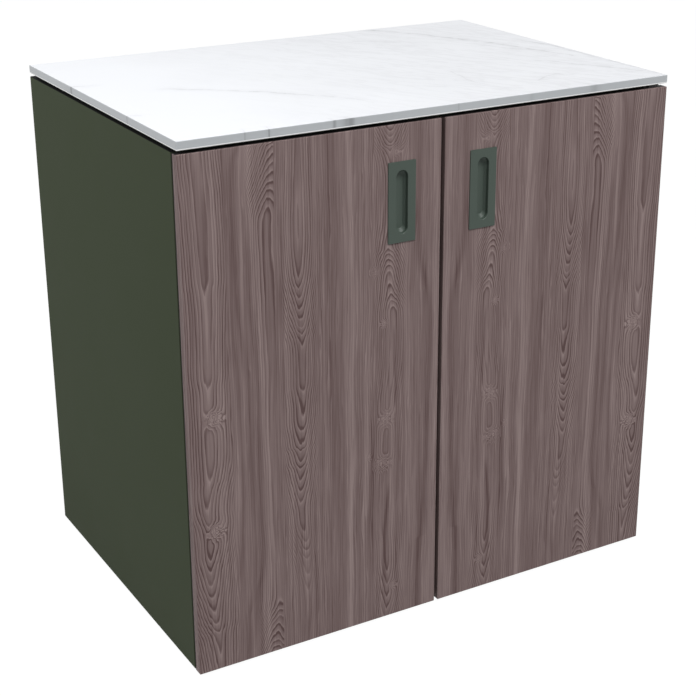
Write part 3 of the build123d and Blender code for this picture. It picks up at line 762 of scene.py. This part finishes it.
# %% Helper that draws a curve through points
def curve_through(value, points):
    """Follow a smooth curve through (input, output) points."""
    start, end = points[0][0], points[-1][0]
    low = min(height for _, height in points)
    high = max([height for _, height in points] + [low + 1e-6])
    made = node(value.id_data, "FloatCurve", {"Value": ranged(value, start, end, 0, 1)})
    line = made.mapping.curves[0]
    line.points[0].location = (0, (points[0][1] - low) / (high - low))
    line.points[1].location = (1, (points[-1][1] - low) / (high - low))
    for across, height in points[1:-1]:
        line.points.new((across - start) / (end - start), (height - low) / (high - low))
    for point in line.points:
        point.handle_type = "AUTO_CLAMPED"
    made.mapping.update()
    return ranged(made.outputs[0], 0, 1, low, high)


print("curve helper ready")

# %% [markdown]
# Two more helpers work on colours: one turns a value into a colour through three stops, and the
# other lays one colour over another through a mask. A Mix node has a set of sockets for each
# kind of value, and those for colours are reached by their numbers.

# %% Helpers for colours
MIX_FACTOR, MIX_UNDER, MIX_OVER, MIX_RESULT = 0, 6, 7, 2


def tones(value, low, middle, high):
    """Turn a value into a colour: low at 0, high at 1, and middle, which is a position and a colour."""
    made = node(value.id_data, "ValToRGB", {"Fac": value})
    stops = made.color_ramp.elements
    stops[0].color, stops[1].color = (*low, 1), (*high, 1)
    stops.new(middle[0]).color = (*middle[1], 1)
    return made.outputs["Color"]


def blend(under, over, mask):
    """Lay one colour over another where the mask is 1."""
    sockets = {MIX_FACTOR: mask, MIX_UNDER: under, MIX_OVER: over}
    return node(mask.id_data, "Mix", sockets, data_type="RGBA").outputs[MIX_RESULT]


print("colour helpers ready")

# %% [markdown]
# ## Fine grain
# Powder coat, moulded plastic and stone all have a fine grain that breaks up a highlight. It
# could be displaced geometry, but at a tenth of a millimetre a bump is enough. The group gives
# a height for the bump and a slow mottling that shifts colour and roughness a little.

# %% Fine grain group
grain, given, out = new_group(
    "fine_grain",
    {"Place": ORIGIN, "Grain": 0.9, "Patch": 60.0},
    {"Height": "Float", "Mottle": "Float"},
)
for size, detail, result in (("Grain", 1.0, "Height"), ("Patch", 3.0, "Mottle")):
    per_metre = math_node("DIVIDE", 1 / MM, given[size])
    grain.links.new(noise(scaled(given["Place"], per_metre), detail), out[result])
print("fine grain", len(grain.nodes), "nodes")

# %% [markdown]
# ## Wood figure
# The doors are faced with a printed laminate that shows planks of stone pine, glued side by side. A photo
# of real veneer would be the quick way, but this material is built from nodes, so it has no resolution
# limit, and every ring, knot and streak can be put where the photograph has it. A flat-sawn plank shows
# its growth rings as nested arches. Seen across, a ring lies where a cone is cut: the distance from the
# plank's middle, rounded at the tip, plus how far the cut has climbed through the trunk at that height.

# %% Growth rings of one plank
plank, given, out = new_group(
    "plank_rings",
    {"Across": 0.0, "Centre": 0.0, "Round": 6.0, "Pitch": 2.6, "Climb": 0.0},
    {"Rings": "Float"},
)
offset = minus(given["Across"], given["Centre"])
squares = add(times(offset, offset), times(given["Round"], given["Round"]))
beyond = minus(math_node("SQRT", squares), given["Round"])
counted = math_node("DIVIDE", beyond, given["Pitch"])
plank.links.new(add(counted, given["Climb"]), out["Rings"])
print("plank rings", len(plank.nodes), "nodes")

# %% [markdown]
# A knot is where a branch left the trunk. The rings bulge round it, so it is enough to know how
# near a point is to a knot: the group gives a soft round hill, and later the hill is added to
# the ring count. The rings then close round the knot by themselves, as they do in wood.

# %% Nearness to a knot
knot, given, out = new_group(
    "knot",
    {"Across": 0.0, "Up": 0.0, "At across": 0.0, "At up": 0.0, "Size": 7.0, "Tall": 1.0},
    {"Near": "Float"},
)
sideways = math_node("DIVIDE", minus(given["Across"], given["At across"]), given["Size"])
tall_size = times(given["Size"], given["Tall"])
upright = math_node("DIVIDE", minus(given["Up"], given["At up"]), tall_size)
square = add(times(sideways, sideways), times(upright, upright))
knot.links.new(math_node("EXPONENT", times(square, -0.5)), out["Near"])
print("knot", len(knot.nodes), "nodes")

# %% [markdown]
# Between the arches the planks have long darker and paler streaks. A streak follows a middle
# line, is a few millimetres wide with soft sides, and fades out at its lower and upper end.

# %% Nearness to a streak
streak, given, out = new_group(
    "streak",
    {"Across": 0.0, "Up": 0.0, "Middle": 0.0, "Width": 5.0, "Low": 0.0, "High": 860.0, "Fade": 60.0},
    {"Near": "Float"},
)
sideways = math_node("DIVIDE", minus(given["Across"], given["Middle"]), given["Width"])
core = math_node("EXPONENT", times(sideways, sideways, -0.5))
from_low = fade(given["Up"], given["Low"], add(given["Low"], given["Fade"]))
from_high = fade(given["Up"], given["High"], minus(given["High"], given["Fade"]))
streak.links.new(times(core, from_low, from_high), out["Near"])
print("streak", len(streak.nodes), "nodes")

# %% [markdown]
# Each year's growth starts pale and ends in a thin dark line of late wood. Taking the fraction of
# the ring count gives the place within one year: the tone falls slowly to the dark line and then
# jumps back. Every year gets its own strength from white noise, because no two summers are the same.

# %% Late-wood lines
late_wood, given, out = new_group(
    "late_wood", {"Rings": 0.0, "Across": 0.0, "Up": 0.0, "Thin": 0.42}, {"Tone": "Float"}
)
share = math_node("FRACT", given["Rings"])
year = math_node("FLOOR", given["Rings"])
rise = fade(share, given["Thin"], 0.84)
drop = fade(share, 1.0, 0.86)
each = node(late_wood, "TexWhiteNoise", {"W": year}, noise_dimensions="1D").outputs["Value"]
stretched = [times(given[way], per_mm) for way, per_mm in (("Across", 0.05), ("Up", 0.012))]
patches = noise(vector(*stretched, 3.3))
strength = add(0.45, times(each, 0.7), times(patches, 1.8))
early = fade(share, 0.02, 0.34, 0.42, 0.0)
tone = add(early, times(rise, drop, strength, -1.0))
late_wood.links.new(tone, out["Tone"])
print("late wood", len(late_wood.nodes), "nodes")

# %% [markdown]
# ## The doors' laminate
# The two doors are cut so that they mirror each other, so the figure is measured in millimetres
# from the outer edge of either door and up from its foot. On the door's narrow edges the figure
# runs on round the corner, which is how a wrapped laminate looks. Slow and fast noise bends the
# measure a little, so that no line stays straight.

# %% Measuring the figure
pine, given, out = new_group("stone_pine", {"Place": ORIGIN}, {"Color": "Color", "Height": "Float"})
door_low, door_high = (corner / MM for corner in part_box("door_left"))
x, y, level = millimetres(given["Place"])
from_edge = minus(-door_low.x, math_node("ABSOLUTE", x))
behind_face = minus(y, door_low.y)
flat_across = minus(from_edge, times(behind_face, 0.9))
flat_up = minus(level, door_low.z)


def wander(across_size, up_size, seed, detail=2.0, roughness=0.5, place=flat_across):
    """Noise that is stretched along the grain: its sizes across and up are in mm."""
    where = vector(times(place, 1 / across_size), times(flat_up, 1 / up_size), seed)
    return noise(where, detail, roughness)


broad = wander(70, 260, 0.0, 1.0)
small = wander(13, 52, 5.0)
across = add(flat_across, times(broad, 10.0), times(small, 2.8))
up = add(flat_up, times(wander(7, 24, 9.0), 5.0))
print("measured across and up")

# %% [markdown]
# The knots, by name, each with its distance from the outer edge, its height, its size and how
# tall it is for its width.

# %% Where the knots are
KNOTS = {
    "upper_edge": (43, 441, 9, 1.0),
    "lower_edge": (39, 249, 9, 1.0),
    "upper_inner": (347, 371, 8, 1.0),
    "lower_inner": (341, 292, 10, 0.75),
    "side_pip": (315, 309, 3, 1.0),
    "top_pip": (365, 817, 4.5, 1.0),
    "foot_pip": (362, 57, 4.5, 1.0),
    "shoulder": (326, 628, 5, 0.9),
    "waist": (343, 538, 4, 0.9),
}
nearness = []
for at_across, at_up, size, tall in KNOTS.values():
    facts = {"At across": at_across, "At up": at_up, "Size": size, "Tall": tall}
    nearness.append(use(pine, knot, {"Across": flat_across, "Up": flat_up, **facts})["Near"])
knots = add(*nearness)
curl = wander(7, 9, 2.0)
swirl = times(knots, add(3.6, times(curl, 7.0)))
drift = wander(9, 160, 7.0)
print(len(KNOTS), "knots")

# %% [markdown]
# Four planks show arches. For each one, "centre" says where its middle line runs at each height, and
# "climb" how many rings have been passed there: where the climb changes fast the arches are close
# together, where it stands still the lines run straight. "edges" are the plank's soft left and right
# limits, and "levels" how strongly its figure shows at each height. All lengths are in millimetres.

# %% The two outer planks
PLANKS = {
    "edge": {
        "centre": [(0, 38), (74, 33), (124, 28), (183, 26), (249, 30), (292, 25), (339, 30), (400, 33),
                   (490, 33), (643, 36), (859, 28)],
        "climb": [(0, 10.4), (60, 9.4), (74, 8.6), (92, 7.6), (124, 6.4), (155, 5), (183, 4), (215, 2.6),
                  (292, 1), (339, 0), (375, -0.6), (450, -0.75), (490, -1), (515, -1.6), (600, -1.8),
                  (643, -2), (670, -2.5), (859, -2.9)],
        "round": 10.0,
        "pitch": 4.2,
        "edges": (-40, -30, 62, 76),
        "levels": [(0, 1), (859, 1)],
    },
    "arches": {
        "centre": [(0, 138), (21, 139), (50, 142), (91, 147), (300, 144), (460, 144), (700, 139),
                   (762, 142), (800, 147), (830, 150), (859, 151)],
        "climb": [(0, 0), (10, 1), (21, 2), (36, 3), (51, 4), (65, 5), (77, 6), (91, 7), (110, 7.4),
                  (740, 7.4), (762, 8), (776, 9), (790, 10), (802, 11), (816, 12), (829, 13), (842, 14),
                  (854, 15), (859, 16)],
        "round": 24.0,
        "pitch": 2.5,
        "edges": (104, 114, 150.6, 151.4),
        "levels": [(0, 1), (110, 1), (160, 0.4), (420, 0.4), (620, 0.8), (859, 1)],
    },
}
print(", ".join(PLANKS))

# %% The two inner planks
PLANKS["cathedral"] = {
    "centre": [(0, 195), (120, 198), (186, 196), (300, 189), (450, 193), (531, 194), (643, 191),
               (859, 192)],
    "climb": [(0, 23.6), (60, 23.5), (101, 23), (126, 22), (155, 21), (170, 20), (186, 19), (205, 18),
              (225, 17.5), (248, 17.4), (260, 17), (280, 16), (300, 15), (321, 14), (332, 13), (352, 12),
              (361, 11), (383, 10), (405, 9), (430, 8.5), (450, 8), (468, 7.4), (515, 7.3), (531, 7),
              (550, 6), (562, 5), (576, 4), (592, 3), (609, 2), (626, 1), (643, 0), (660, -0.5),
              (720, -1.1), (780, -0.9), (859, -0.3)],
    "round": 10.0,
    "pitch": 3.4,
    "edges": (159, 168, 214, 226),
    "levels": [(0, 0.3), (90, 0.5), (200, 0.5), (262, 1), (420, 1), (500, 0.8), (560, 1), (859, 0.8)],
}
PLANKS["inner"] = {
    "centre": [(0, 349), (60, 351), (250, 345), (400, 350), (528, 361), (625, 352), (665, 352), (720, 356),
               (859, 352)],
    "climb": [(0, 4.6), (14, 4), (40, 2.8), (75, 1.4), (120, 0.4), (300, 0.4), (548, 0.4), (565, 1),
              (576, 2), (587, 3), (604, 4), (625, 5), (636, 6), (646, 7), (656, 8), (665, 9), (700, 9.5),
              (780, 9.2), (817, 8), (830, 6), (845, 4.5), (859, 3)],
    "round": 8.0,
    "pitch": 3.8,
    "edges": (320, 332, 376, 388),
    "levels": [(0, 0.8), (120, 0.8), (170, 0.4), (280, 0.2), (300, 0.6), (400, 0.6), (500, 0.4), (550, 1),
               (690, 1), (760, 0.4), (800, 0.8), (859, 0.8)],
}
print(len(PLANKS), "planks")

# %% [markdown]
# Outside the arched planks the wood is quarter-sawn and shows nearly straight lines, stronger
# in some strands than in others. That straight figure is laid down first, and each arched plank
# is then blended over it through its own mask.

# %% Figure of all planks
straight = add(times(across, 1 / 3.9), times(drift, 3.0), swirl)
figure = use(pine, late_wood, {"Rings": straight, "Across": across, "Up": up, "Thin": 0.1})["Tone"]
STRANDS = [(0, 0.7), (60, 0.7), (80, 0.3), (125, 0.25), (150, 0.4), (165, 0.6), (235, 0.55), (262, 0.3),
           (300, 0.35), (330, 0.6), (372, 0.45), (400, 0.35), (446, 0.3)]
figure = times(figure, add(curve_through(across, STRANDS), times(knots, 1.1)))
for facts in PLANKS.values():
    shape = {
        "Across": across,
        "Centre": curve_through(up, facts["centre"]),
        "Round": facts["round"],
        "Pitch": facts["pitch"],
        "Climb": curve_through(up, facts["climb"]),
    }
    rings = add(use(pine, plank, shape)["Rings"], swirl, times(drift, 0.9))
    tone = use(pine, late_wood, {"Rings": rings, "Across": across, "Up": up})["Tone"]
    start, full, last, end = facts["edges"]
    shows = curve_through(flat_up, facts["levels"])
    mask = times(fade(across, start, full), fade(across, end, last), shows)
    figure = node(pine, "Mix", {"Factor": mask, "A": figure, "B": tone}, data_type="FLOAT").outputs[0]
print("figure so far", len(pine.nodes), "nodes")

# %% [markdown]
# The streaks, by name: the points that the middle line goes through, as (height, distance from
# the outer edge), then the width, the lower and upper end, how softly it ends, and how dark it
# is. A negative darkness makes a pale streak.

# %% Where the streaks are
STREAKS = {
    "rim": ([(0, 2), (859, 2)], 5, 0, 860, 1, 0.3),
    "heart": ([(0, 38), (859, 38)], 4.5, 640, 830, 60, 0.8),
    "first_band": ([(0, 74), (149, 78), (243, 84), (430, 83), (703, 76), (859, 72)], 2.6, 0, 860, 1, 0.5),
    "second_band": ([(0, 88), (86, 94), (180, 103), (430, 102), (781, 84), (859, 95)], 3.6, 0, 860, 1, 0.7),
    "third_band": ([(0, 100), (117, 107), (211, 119), (430, 119), (703, 106), (859, 106)],
                   3.0, 0, 780, 90, 0.6),
    "pale_by_arches": ([(0, 124), (300, 129), (500, 124), (859, 112)], 5, 0, 860, 1, -0.5),
    "pale_left": ([(0, 75), (200, 73), (500, 94), (859, 100)], 4, 0, 860, 1, -0.4),
    "between": ([(0, 250), (430, 254), (859, 250)], 8, 0, 860, 1, 0.6),
    "pale_middle": ([(0, 279), (430, 282), (560, 288), (672, 283), (859, 278)], 4, 0, 860, 1, -0.6),
    "pale_low": ([(0, 301), (430, 306), (859, 306)], 4, 0, 420, 150, -0.4),
    "low_band": ([(0, 306), (110, 308), (200, 316), (430, 322)], 3.5, 60, 400, 90, 0.5),
    "leg": ([(430, 366), (528, 361), (859, 361)], 1.8, 380, 540, 30, 0.9),
    "split": ([(60, 346), (110, 345), (190, 348), (262, 352), (859, 352)], 2.2, 60, 262, 40, 1.3),
    "thin_dark": ([(0, 376), (127, 378), (211, 381), (859, 396)], 1.6, 80, 330, 90, 0.6),
    "last_band": ([(0, 409), (128, 410), (138, 415), (336, 425), (515, 428), (672, 409), (859, 408)],
                  4, 0, 860, 1, 0.9),
    "pale_rim": ([(0, 434), (430, 441), (859, 434)], 6, 0, 860, 1, -0.4),
}
darkened = []
for path, width, low, high, soft, dark in STREAKS.values():
    middle = curve_through(flat_up, path)
    line = {"Middle": middle, "Width": width, "Low": low, "High": high, "Fade": soft}
    near = use(pine, streak, {"Across": across, "Up": flat_up, **line})["Near"]
    darkened.append(times(near, dark))
streaked = add(*darkened)
print(len(STREAKS), "streaks")

# %% [markdown]
# The tone is the sum of it all: rings, streaks, knots, and three sizes of stretched noise for wide bands,
# slim bands and single fibres. A colour ramp turns it into the laminate's greyed red-brown, and the same
# tone is the height of the embossing, since such laminates are pressed with pores along the grain.

# %% Colour of the laminate
wide = wander(15, 900, 1.0, 1.0, place=across)
slim = wander(6, 420, 4.0, 3.0, 0.6, place=across)
fibre = wander(2.8, 130, 6.0, 3.0, 0.6, place=across)
SHARES = ((figure, 0.54), (wide, 0.42), (slim, 0.70), (fibre, 0.54), (streaked, -0.30), (knots, 0.20))
BASE_TONE = 0.52
tone = add(BASE_TONE, *[times(value, share) for value, share in SHARES])
WOOD_DARK, WOOD_MIDDLE, WOOD_PALE = (0.106, 0.065, 0.063), (0.223, 0.162, 0.157), (0.384, 0.299, 0.287)
pine.links.new(tones(tone, WOOD_DARK, (0.5, WOOD_MIDDLE), WOOD_PALE), out["Color"])
pine.links.new(tone, out["Height"])
print("stone pine", len(pine.nodes), "nodes")

# %% [markdown]
# ## Marble
# The slab is a sintered stone with the look of white marble: long, broken grey veins on a cloudy white. A
# vein could be a band of distorted noise, but then it would lie anywhere. Here a vein is a chain of
# straight pieces, and the group measures how far a point is from one piece: a sharp core and a soft halo.

# %% Nearness to a vein
vein, given, out = new_group(
    "vein",
    {"Place": ORIGIN, "From": ORIGIN, "To": (1.0, 0.0, 0.0), "Width": 2.0, "Halo": 12.0},
    {"Near": "Float"},
)
along = vector_math("SUBTRACT", given["To"], given["From"])
reach = vector_math("SUBTRACT", given["Place"], given["From"])
dot, square = [vector_math("DOT_PRODUCT", side, along, "Value") for side in (reach, along)]
way = node(vein, "Clamp", {"Value": math_node("DIVIDE", dot, square)}).outputs[0]
gap = vector_math("DISTANCE", reach, scaled(along, way), "Value")
thin = math_node("DIVIDE", gap, given["Width"])
soft = math_node("DIVIDE", gap, given["Halo"])
core = math_node("EXPONENT", times(thin, thin, -1.0))
halo = math_node("EXPONENT", times(soft, soft, -1.0))
vein.links.new(add(core, times(halo, 0.35)), out["Near"])
print("vein", len(vein.nodes), "nodes")

# %% [markdown]
# The veins, by name: width, strength, and the points that it goes through in millimetres, seen from above.
# Noise moves the place before the distance is measured, so the straight pieces wander like real veins.
# Those named after an edge run over it, where the photograph shows a dark mark in the slab's cut edge.

# %% Where the veins are
VEINS = {
    "left": (1.6, 0.9, [(-325, 14), (-263, -30), (-200, -82), (-119, -174)]),
    "left_end": (1.8, 0.35, [(-119, -174), (-96, -206), (-84, -240)]),
    "dash": (2.4, 0.45, [(144, 220), (206, 170)]),
    "main": (2.4, 0.9, [(229, 312), (259, 267), (294, 220), (319, 157), (344, 105), (368, 60)]),
    "main_end": (2.0, 0.7, [(368, 60), (386, 2), (404, -60), (414, -100)]),
    "branch": (2.0, 0.5, [(337, 70), (356, 20), (381, -10)]),
    "far": (2.0, 0.7, [(420, 80), (438, 10), (446, -60), (440, -170), (446, -240)]),
    "lower": (2.2, 0.75, [(335, -98), (369, -150), (405, -205), (431, -256), (446, -290)]),
    "front": (1.8, 0.5, [(316, -228), (295, -206), (262, -222), (239, -240)]),
    "mark": (1.8, 0.45, [(152, -100), (141, -160), (140, -205), (153, -258)]),
    "patch": (14.0, 0.16, [(398, -40), (392, -170)]),
    "left_edge": (2.2, 0.9, [(-460, 116), (-415, 96)]),
    "left_edge_low": (1.8, 0.5, [(-460, -122), (-430, -140)]),
    "front_edge_1": (1.0, 0.5, [(-342, -296), (-345, -330)]),
    "front_edge_2": (1.0, 0.55, [(-302, -296), (-305, -330)]),
    "front_edge_3": (3.4, 0.5, [(-196, -300), (-194, -330)]),
    "front_edge_4": (10.0, 0.5, [(-166, -304), (-165, -330)]),
    "front_edge_5": (1.0, 0.4, [(28, -296), (26, -330)]),
    "front_edge_6": (8.0, 0.2, [(168, -306), (170, -330)]),
    "front_edge_7": (10.0, 0.22, [(292, -306), (290, -330)]),
}
print(len(VEINS), "veins")

# %% Veins in the slab
marble, given, out = new_group("marble", {"Place": ORIGIN}, {"Color": "Color", "Veins": "Float"})
DRIFT, HALO = 34.0, 7
x, y, level = millimetres(given["Place"])


def clouds(size_x, size_y, seed, detail, roughness=0.5, along=x):
    """Noise on the slab, with its sizes in mm."""
    where = vector(times(along, 1 / size_x), times(y, 1 / size_y), seed)
    return noise(where, detail, roughness)


drift_x, drift_y = clouds(70, 70, 0.0, 4.0, 0.6), clouds(70, 70, 8.0, 4.0, 0.6)
place = vector(add(x, times(drift_x, DRIFT)), add(y, times(drift_y, DRIFT)))
marks = 0.0
for width, amount, path in VEINS.values():
    for start, end in zip(path, path[1:]):
        stretch = {"Place": place, "From": (*start, 0), "To": (*end, 0), "Width": width, "Halo": width * HALO}
        near = use(marble, vein, stretch)["Near"]
        marks = math_node("MAXIMUM", marks, times(near, amount))
broken = clouds(24, 24, 3.0, 3.0)
marks = times(marks, fade(broken, -0.22, 0.1, 0.25, 1.0))
print("veins drawn with", len(marble.nodes), "nodes")

# %% [markdown]
# Behind the veins the stone is cloudy, and towards the right it greys smoothly: painted shade, as the light
# falls off that way. The few hair veins there are the stone's own. A band of noise around one value gives
# such hairs: the narrower the band, the thinner the hair.

# %% Clouds, hairs and the face colour
SLANT, SHARPNESS = 0.55, -900.0
cloud = clouds(260, 200, 5.0, 4.0)
# Painted shade: the face greys smoothly towards the right, where the light falls off.
right = fade(x, -430.0, 200.0)
band = clouds(34, 130, 2.0, 3.0, 0.6, along=add(x, times(y, SLANT)))
hair = math_node("EXPONENT", times(band, band, SHARPNESS))
grey = add(times(marks, 0.36), times(cloud, 0.20), times(right, 0.17))
grey = add(grey, times(hair, right, 0.12))
STONE_WHITE, STONE_PALE, STONE_GREY = (0.87, 0.89, 0.93), (0.73, 0.745, 0.78), (0.30, 0.305, 0.32)
slab_face = tones(grey, STONE_WHITE, (0.30, STONE_PALE), STONE_GREY)
print("face of the slab done")

# %% [markdown]
# The slab's cut edge and its ground arris aren't polished, so they are much greyer than the face,
# and a bright line along the lower arris is a painted highlight. Both depend only on the height on the slab.

# %% Cut edge and painted highlight on the lower arris
SAWN_PALE, SAWN_DARK, ARRIS_HIGHLIGHT_WHITE = (0.50, 0.525, 0.545, 1), (0.25, 0.26, 0.27, 1), (0.93, 0.94, 0.94, 1)
slab_low, slab_high = (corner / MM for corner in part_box("worktop_slab"))
cut_edge = fade(level, slab_high.z - 0.1, slab_high.z - 0.4)
# Painted highlight: a bright line along the lower arris.
painted_arris_highlight = fade(level, slab_low.z + 2.4, slab_low.z + 2.0)
body = fade(add(marks, times(cloud, 0.3)), 0.0, 0.8)
sawn = blend(blend(SAWN_PALE, SAWN_DARK, body), ARRIS_HIGHLIGHT_WHITE, painted_arris_highlight)
marble.links.new(blend(slab_face, sawn, cut_edge), out["Color"])
marble.links.new(marks, out["Veins"])
print("marble", len(marble.nodes), "nodes")

# %% [markdown]
# ## Finishes
# Every finish is a Principled BSDF whose colour, roughness and bump come from the groups above.
# Four helpers make one: the first makes the empty material, the second wires its surface, the
# third lightens and darkens a colour with a slow value, and the fourth is the recipe that
# powder coat, plastic and rubber share.

# %% Helpers that make a finish
def finish(name, sockets=None):
    """Start a material: returns it, its tree, its Principled BSDF, and the place on the part."""
    made = bpy.data.materials.new(name)
    made.use_nodes = True
    tree = made.node_tree
    tree.nodes.clear()
    shader = node(tree, "BsdfPrincipled", sockets)
    node(tree, "OutputMaterial", {"Surface": shader.outputs[0]})
    return made, tree, shader, node(tree, "TexCoord").outputs["Object"]


def surface(shader, color, roughness, height, depth, strength):
    """Wire a colour, a roughness and a bump, whose depth is in mm, to a Principled BSDF."""
    tree = shader.id_data
    bump = node(tree, "Bump", {"Height": height, "Distance": depth * MM, "Strength": strength})
    for socket, value in {"Base Color": color, "Roughness": roughness, "Normal": bump.outputs[0]}.items():
        tree.links.new(value, shader.inputs[socket])


def tinted(color, amount, value):
    """Lighten and darken a colour with a value about zero."""
    return scaled(color, ranged(value, -0.5, 0.5, 1 - amount, 1 + amount))


def grained(name, color, roughness, grain_size, depth, patch=60.0, specular=0.5):
    """Make a finish with a fine grain: powder coat, moulded plastic or rubber."""
    made, tree, shader, place = finish(name, {"Specular IOR Level": specular})
    skin = use(tree, grain, {"Place": place, "Grain": grain_size, "Patch": patch})
    rough = add(roughness, times(skin["Mottle"], 0.12))
    surface(shader, tinted(color, 0.05, skin["Mottle"]), rough, skin["Height"], depth, 0.6)
    return made


print("finish helpers ready")

# %% [markdown]
# The body has a matt dark green powder coat, which takes nearly no highlight. The pulls are
# cast and painted in a slightly bluer green with more shine, so the sloping end of the recess
# catches the lamp. The small fittings are black or clear mouldings.

# %% Paint, plastic and rubber
BODY_GREEN = (0.061, 0.075, 0.046)
FINISHES = {
    "carcass_green": grained("green powder coat", BODY_GREEN, 0.68, 1.1, 0.05, specular=0.05),
    "rivet_green": grained("painted rivets", BODY_GREEN, 0.60, 1.1, 0.03, specular=0.05),
    "pull_green": grained("green cast pull", (0.066, 0.088, 0.073), 0.45, 1.0, 0.05, 30.0, specular=0.3),
    "spacer_black": grained("black spacer", (0.012, 0.012, 0.012), 0.6, 1.0, 0.04),
    "catch_plastic": grained("black catch plastic", (0.03, 0.03, 0.03), 0.5, 0.6, 0.03),
    "bumper_rubber": grained("clear grey rubber", (0.12, 0.12, 0.12), 0.7, 0.8, 0.02),
    "foot_plastic": grained("black foot plastic", (0.035, 0.035, 0.037), 0.55, 0.7, 0.04),
}
print(len(FINISHES), "grained finishes")

# %% [markdown]
# The gap under the slab lies in deep shade all along. That shade is painted here: the green gives way
# to black where a face looks up at the very top of the body.

# %% Painted shade in the gap under the slab
GAP_SHADE_BLACK = (0.01, 0.01, 0.01, 1)
body_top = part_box("side_panel_left")[1].z / MM
tree = FINISHES["carcass_green"].node_tree
shader = next(part for part in tree.nodes if part.type == "BSDF_PRINCIPLED")
green = shader.inputs["Base Color"].links[0].from_socket
level = millimetres(node(tree, "TexCoord").outputs["Object"])[2]
facing_up = node(tree, "SeparateXYZ", {"Vector": node(tree, "NewGeometry").outputs["Normal"]}).outputs[2]
# Painted shade: black on faces that look up at the very top of the body, under the slab.
painted_gap_shade = times(fade(level, body_top - 0.8, body_top - 0.4), fade(facing_up, 0.6, 0.8))
tree.links.new(blend(green, GAP_SHADE_BLACK, painted_gap_shade), shader.inputs["Base Color"])
print("strip on", FINISHES["carcass_green"].name)

# %% [markdown]
# The door boards carry the stone pine laminate. It is wrapped a few millimetres over their upper and
# lower ends, and behind it the ends are black: painted shade for the dark gaps above and below the doors.
# On the two narrow upright edges a dark line along the back is the board's backing sheet, widened to paint
# the shade of the gap beside the side panel. The door turns, so that line is told from the back face by the
# normal in the door's own axes, which Texture Coordinate gives, and not by the world's.

# %% Wood laminate
WRAP, BACKING_AND_SHADE_WIDTH = 4.0, 2.5
BACKING_AND_GAP_SHADE_BLACK, END_SHADE_BLACK = (0.015, 0.012, 0.012, 1), (0.02, 0.018, 0.018, 1)
made, tree, shader, place = finish("wood laminate", {"Specular IOR Level": 0.2})
pattern = use(tree, pine, {"Place": place})
behind_face = minus(millimetres(place)[1], door_low.y)
backing_and_shade_front = door_high.y - door_low.y - BACKING_AND_SHADE_WIDTH
own_normal = node(tree, "SeparateXYZ", {"Vector": node(tree, "TexCoord").outputs["Normal"]}).outputs
end_face = fade(math_node("ABSOLUTE", own_normal[2]), 0.5, 0.7)
upright_edge = fade(math_node("ABSOLUTE", own_normal[0]), 0.5, 0.7)
# Painted shade: the upper and lower ends go black behind the wrapped laminate.
painted_end_shade = times(end_face, fade(behind_face, WRAP - 0.4, WRAP))
# The backing sheet's dark line, widened into painted shade of the gap beside the side panel.
backing_and_gap_shade = times(upright_edge, fade(behind_face, backing_and_shade_front - 0.1, backing_and_shade_front + 0.1), 0.9)
color = blend(blend(pattern["Color"], BACKING_AND_GAP_SHADE_BLACK, backing_and_gap_shade), END_SHADE_BLACK, painted_end_shade)
rough = fade(pattern["Height"], 0.2, 0.8, 0.62, 0.52)
surface(shader, color, rough, pattern["Height"], 0.12, 0.5)
FINISHES["door_wood"] = made
print(made.name, "ready")

# %% [markdown]
# The slab is honed rather than polished: its reflections are soft, and a little softer still in
# the veins. The hinges and screws are nickel-plated steel, slightly uneven as plating is.

# %% Stone and plated steel
made, tree, shader, place = finish("sintered stone")
pattern = use(tree, marble, {"Place": place})
skin = use(tree, grain, {"Place": place, "Grain": 0.8, "Patch": 90.0})
rough = add(0.31, times(skin["Mottle"], 0.06), times(pattern["Veins"], 0.05))
surface(shader, pattern["Color"], rough, skin["Height"], 0.01, 0.5)
FINISHES["worktop_stone"] = made
made, tree, shader, place = finish("plated steel", {"Metallic": 1.0})
skin = use(tree, grain, {"Place": place, "Grain": 0.5, "Patch": 8.0})
rough = add(0.30, times(skin["Mottle"], 0.2))
color = tinted((0.60, 0.60, 0.58), 0.08, skin["Mottle"])
surface(shader, color, rough, skin["Height"], 0.01, 0.4)
FINISHES["hinge_steel"] = made
print(len(FINISHES), "finishes")

# %% [markdown]
# ## Dressing the cabinet
# Each CAD part has a slot that is named after its finish, and each modelled piece was noted
# with its slot, so one loop dresses them all.

# %% Give every piece its finish
for part in parts.values():
    for slot in part.material_slots:
        slot.material = FINISHES[slot.material.name]
for piece, slot in pieces.values():
    piece.data.materials.clear()
    piece.data.materials.append(FINISHES[slot])
print(len(parts), "parts and", len(pieces), "pieces dressed")
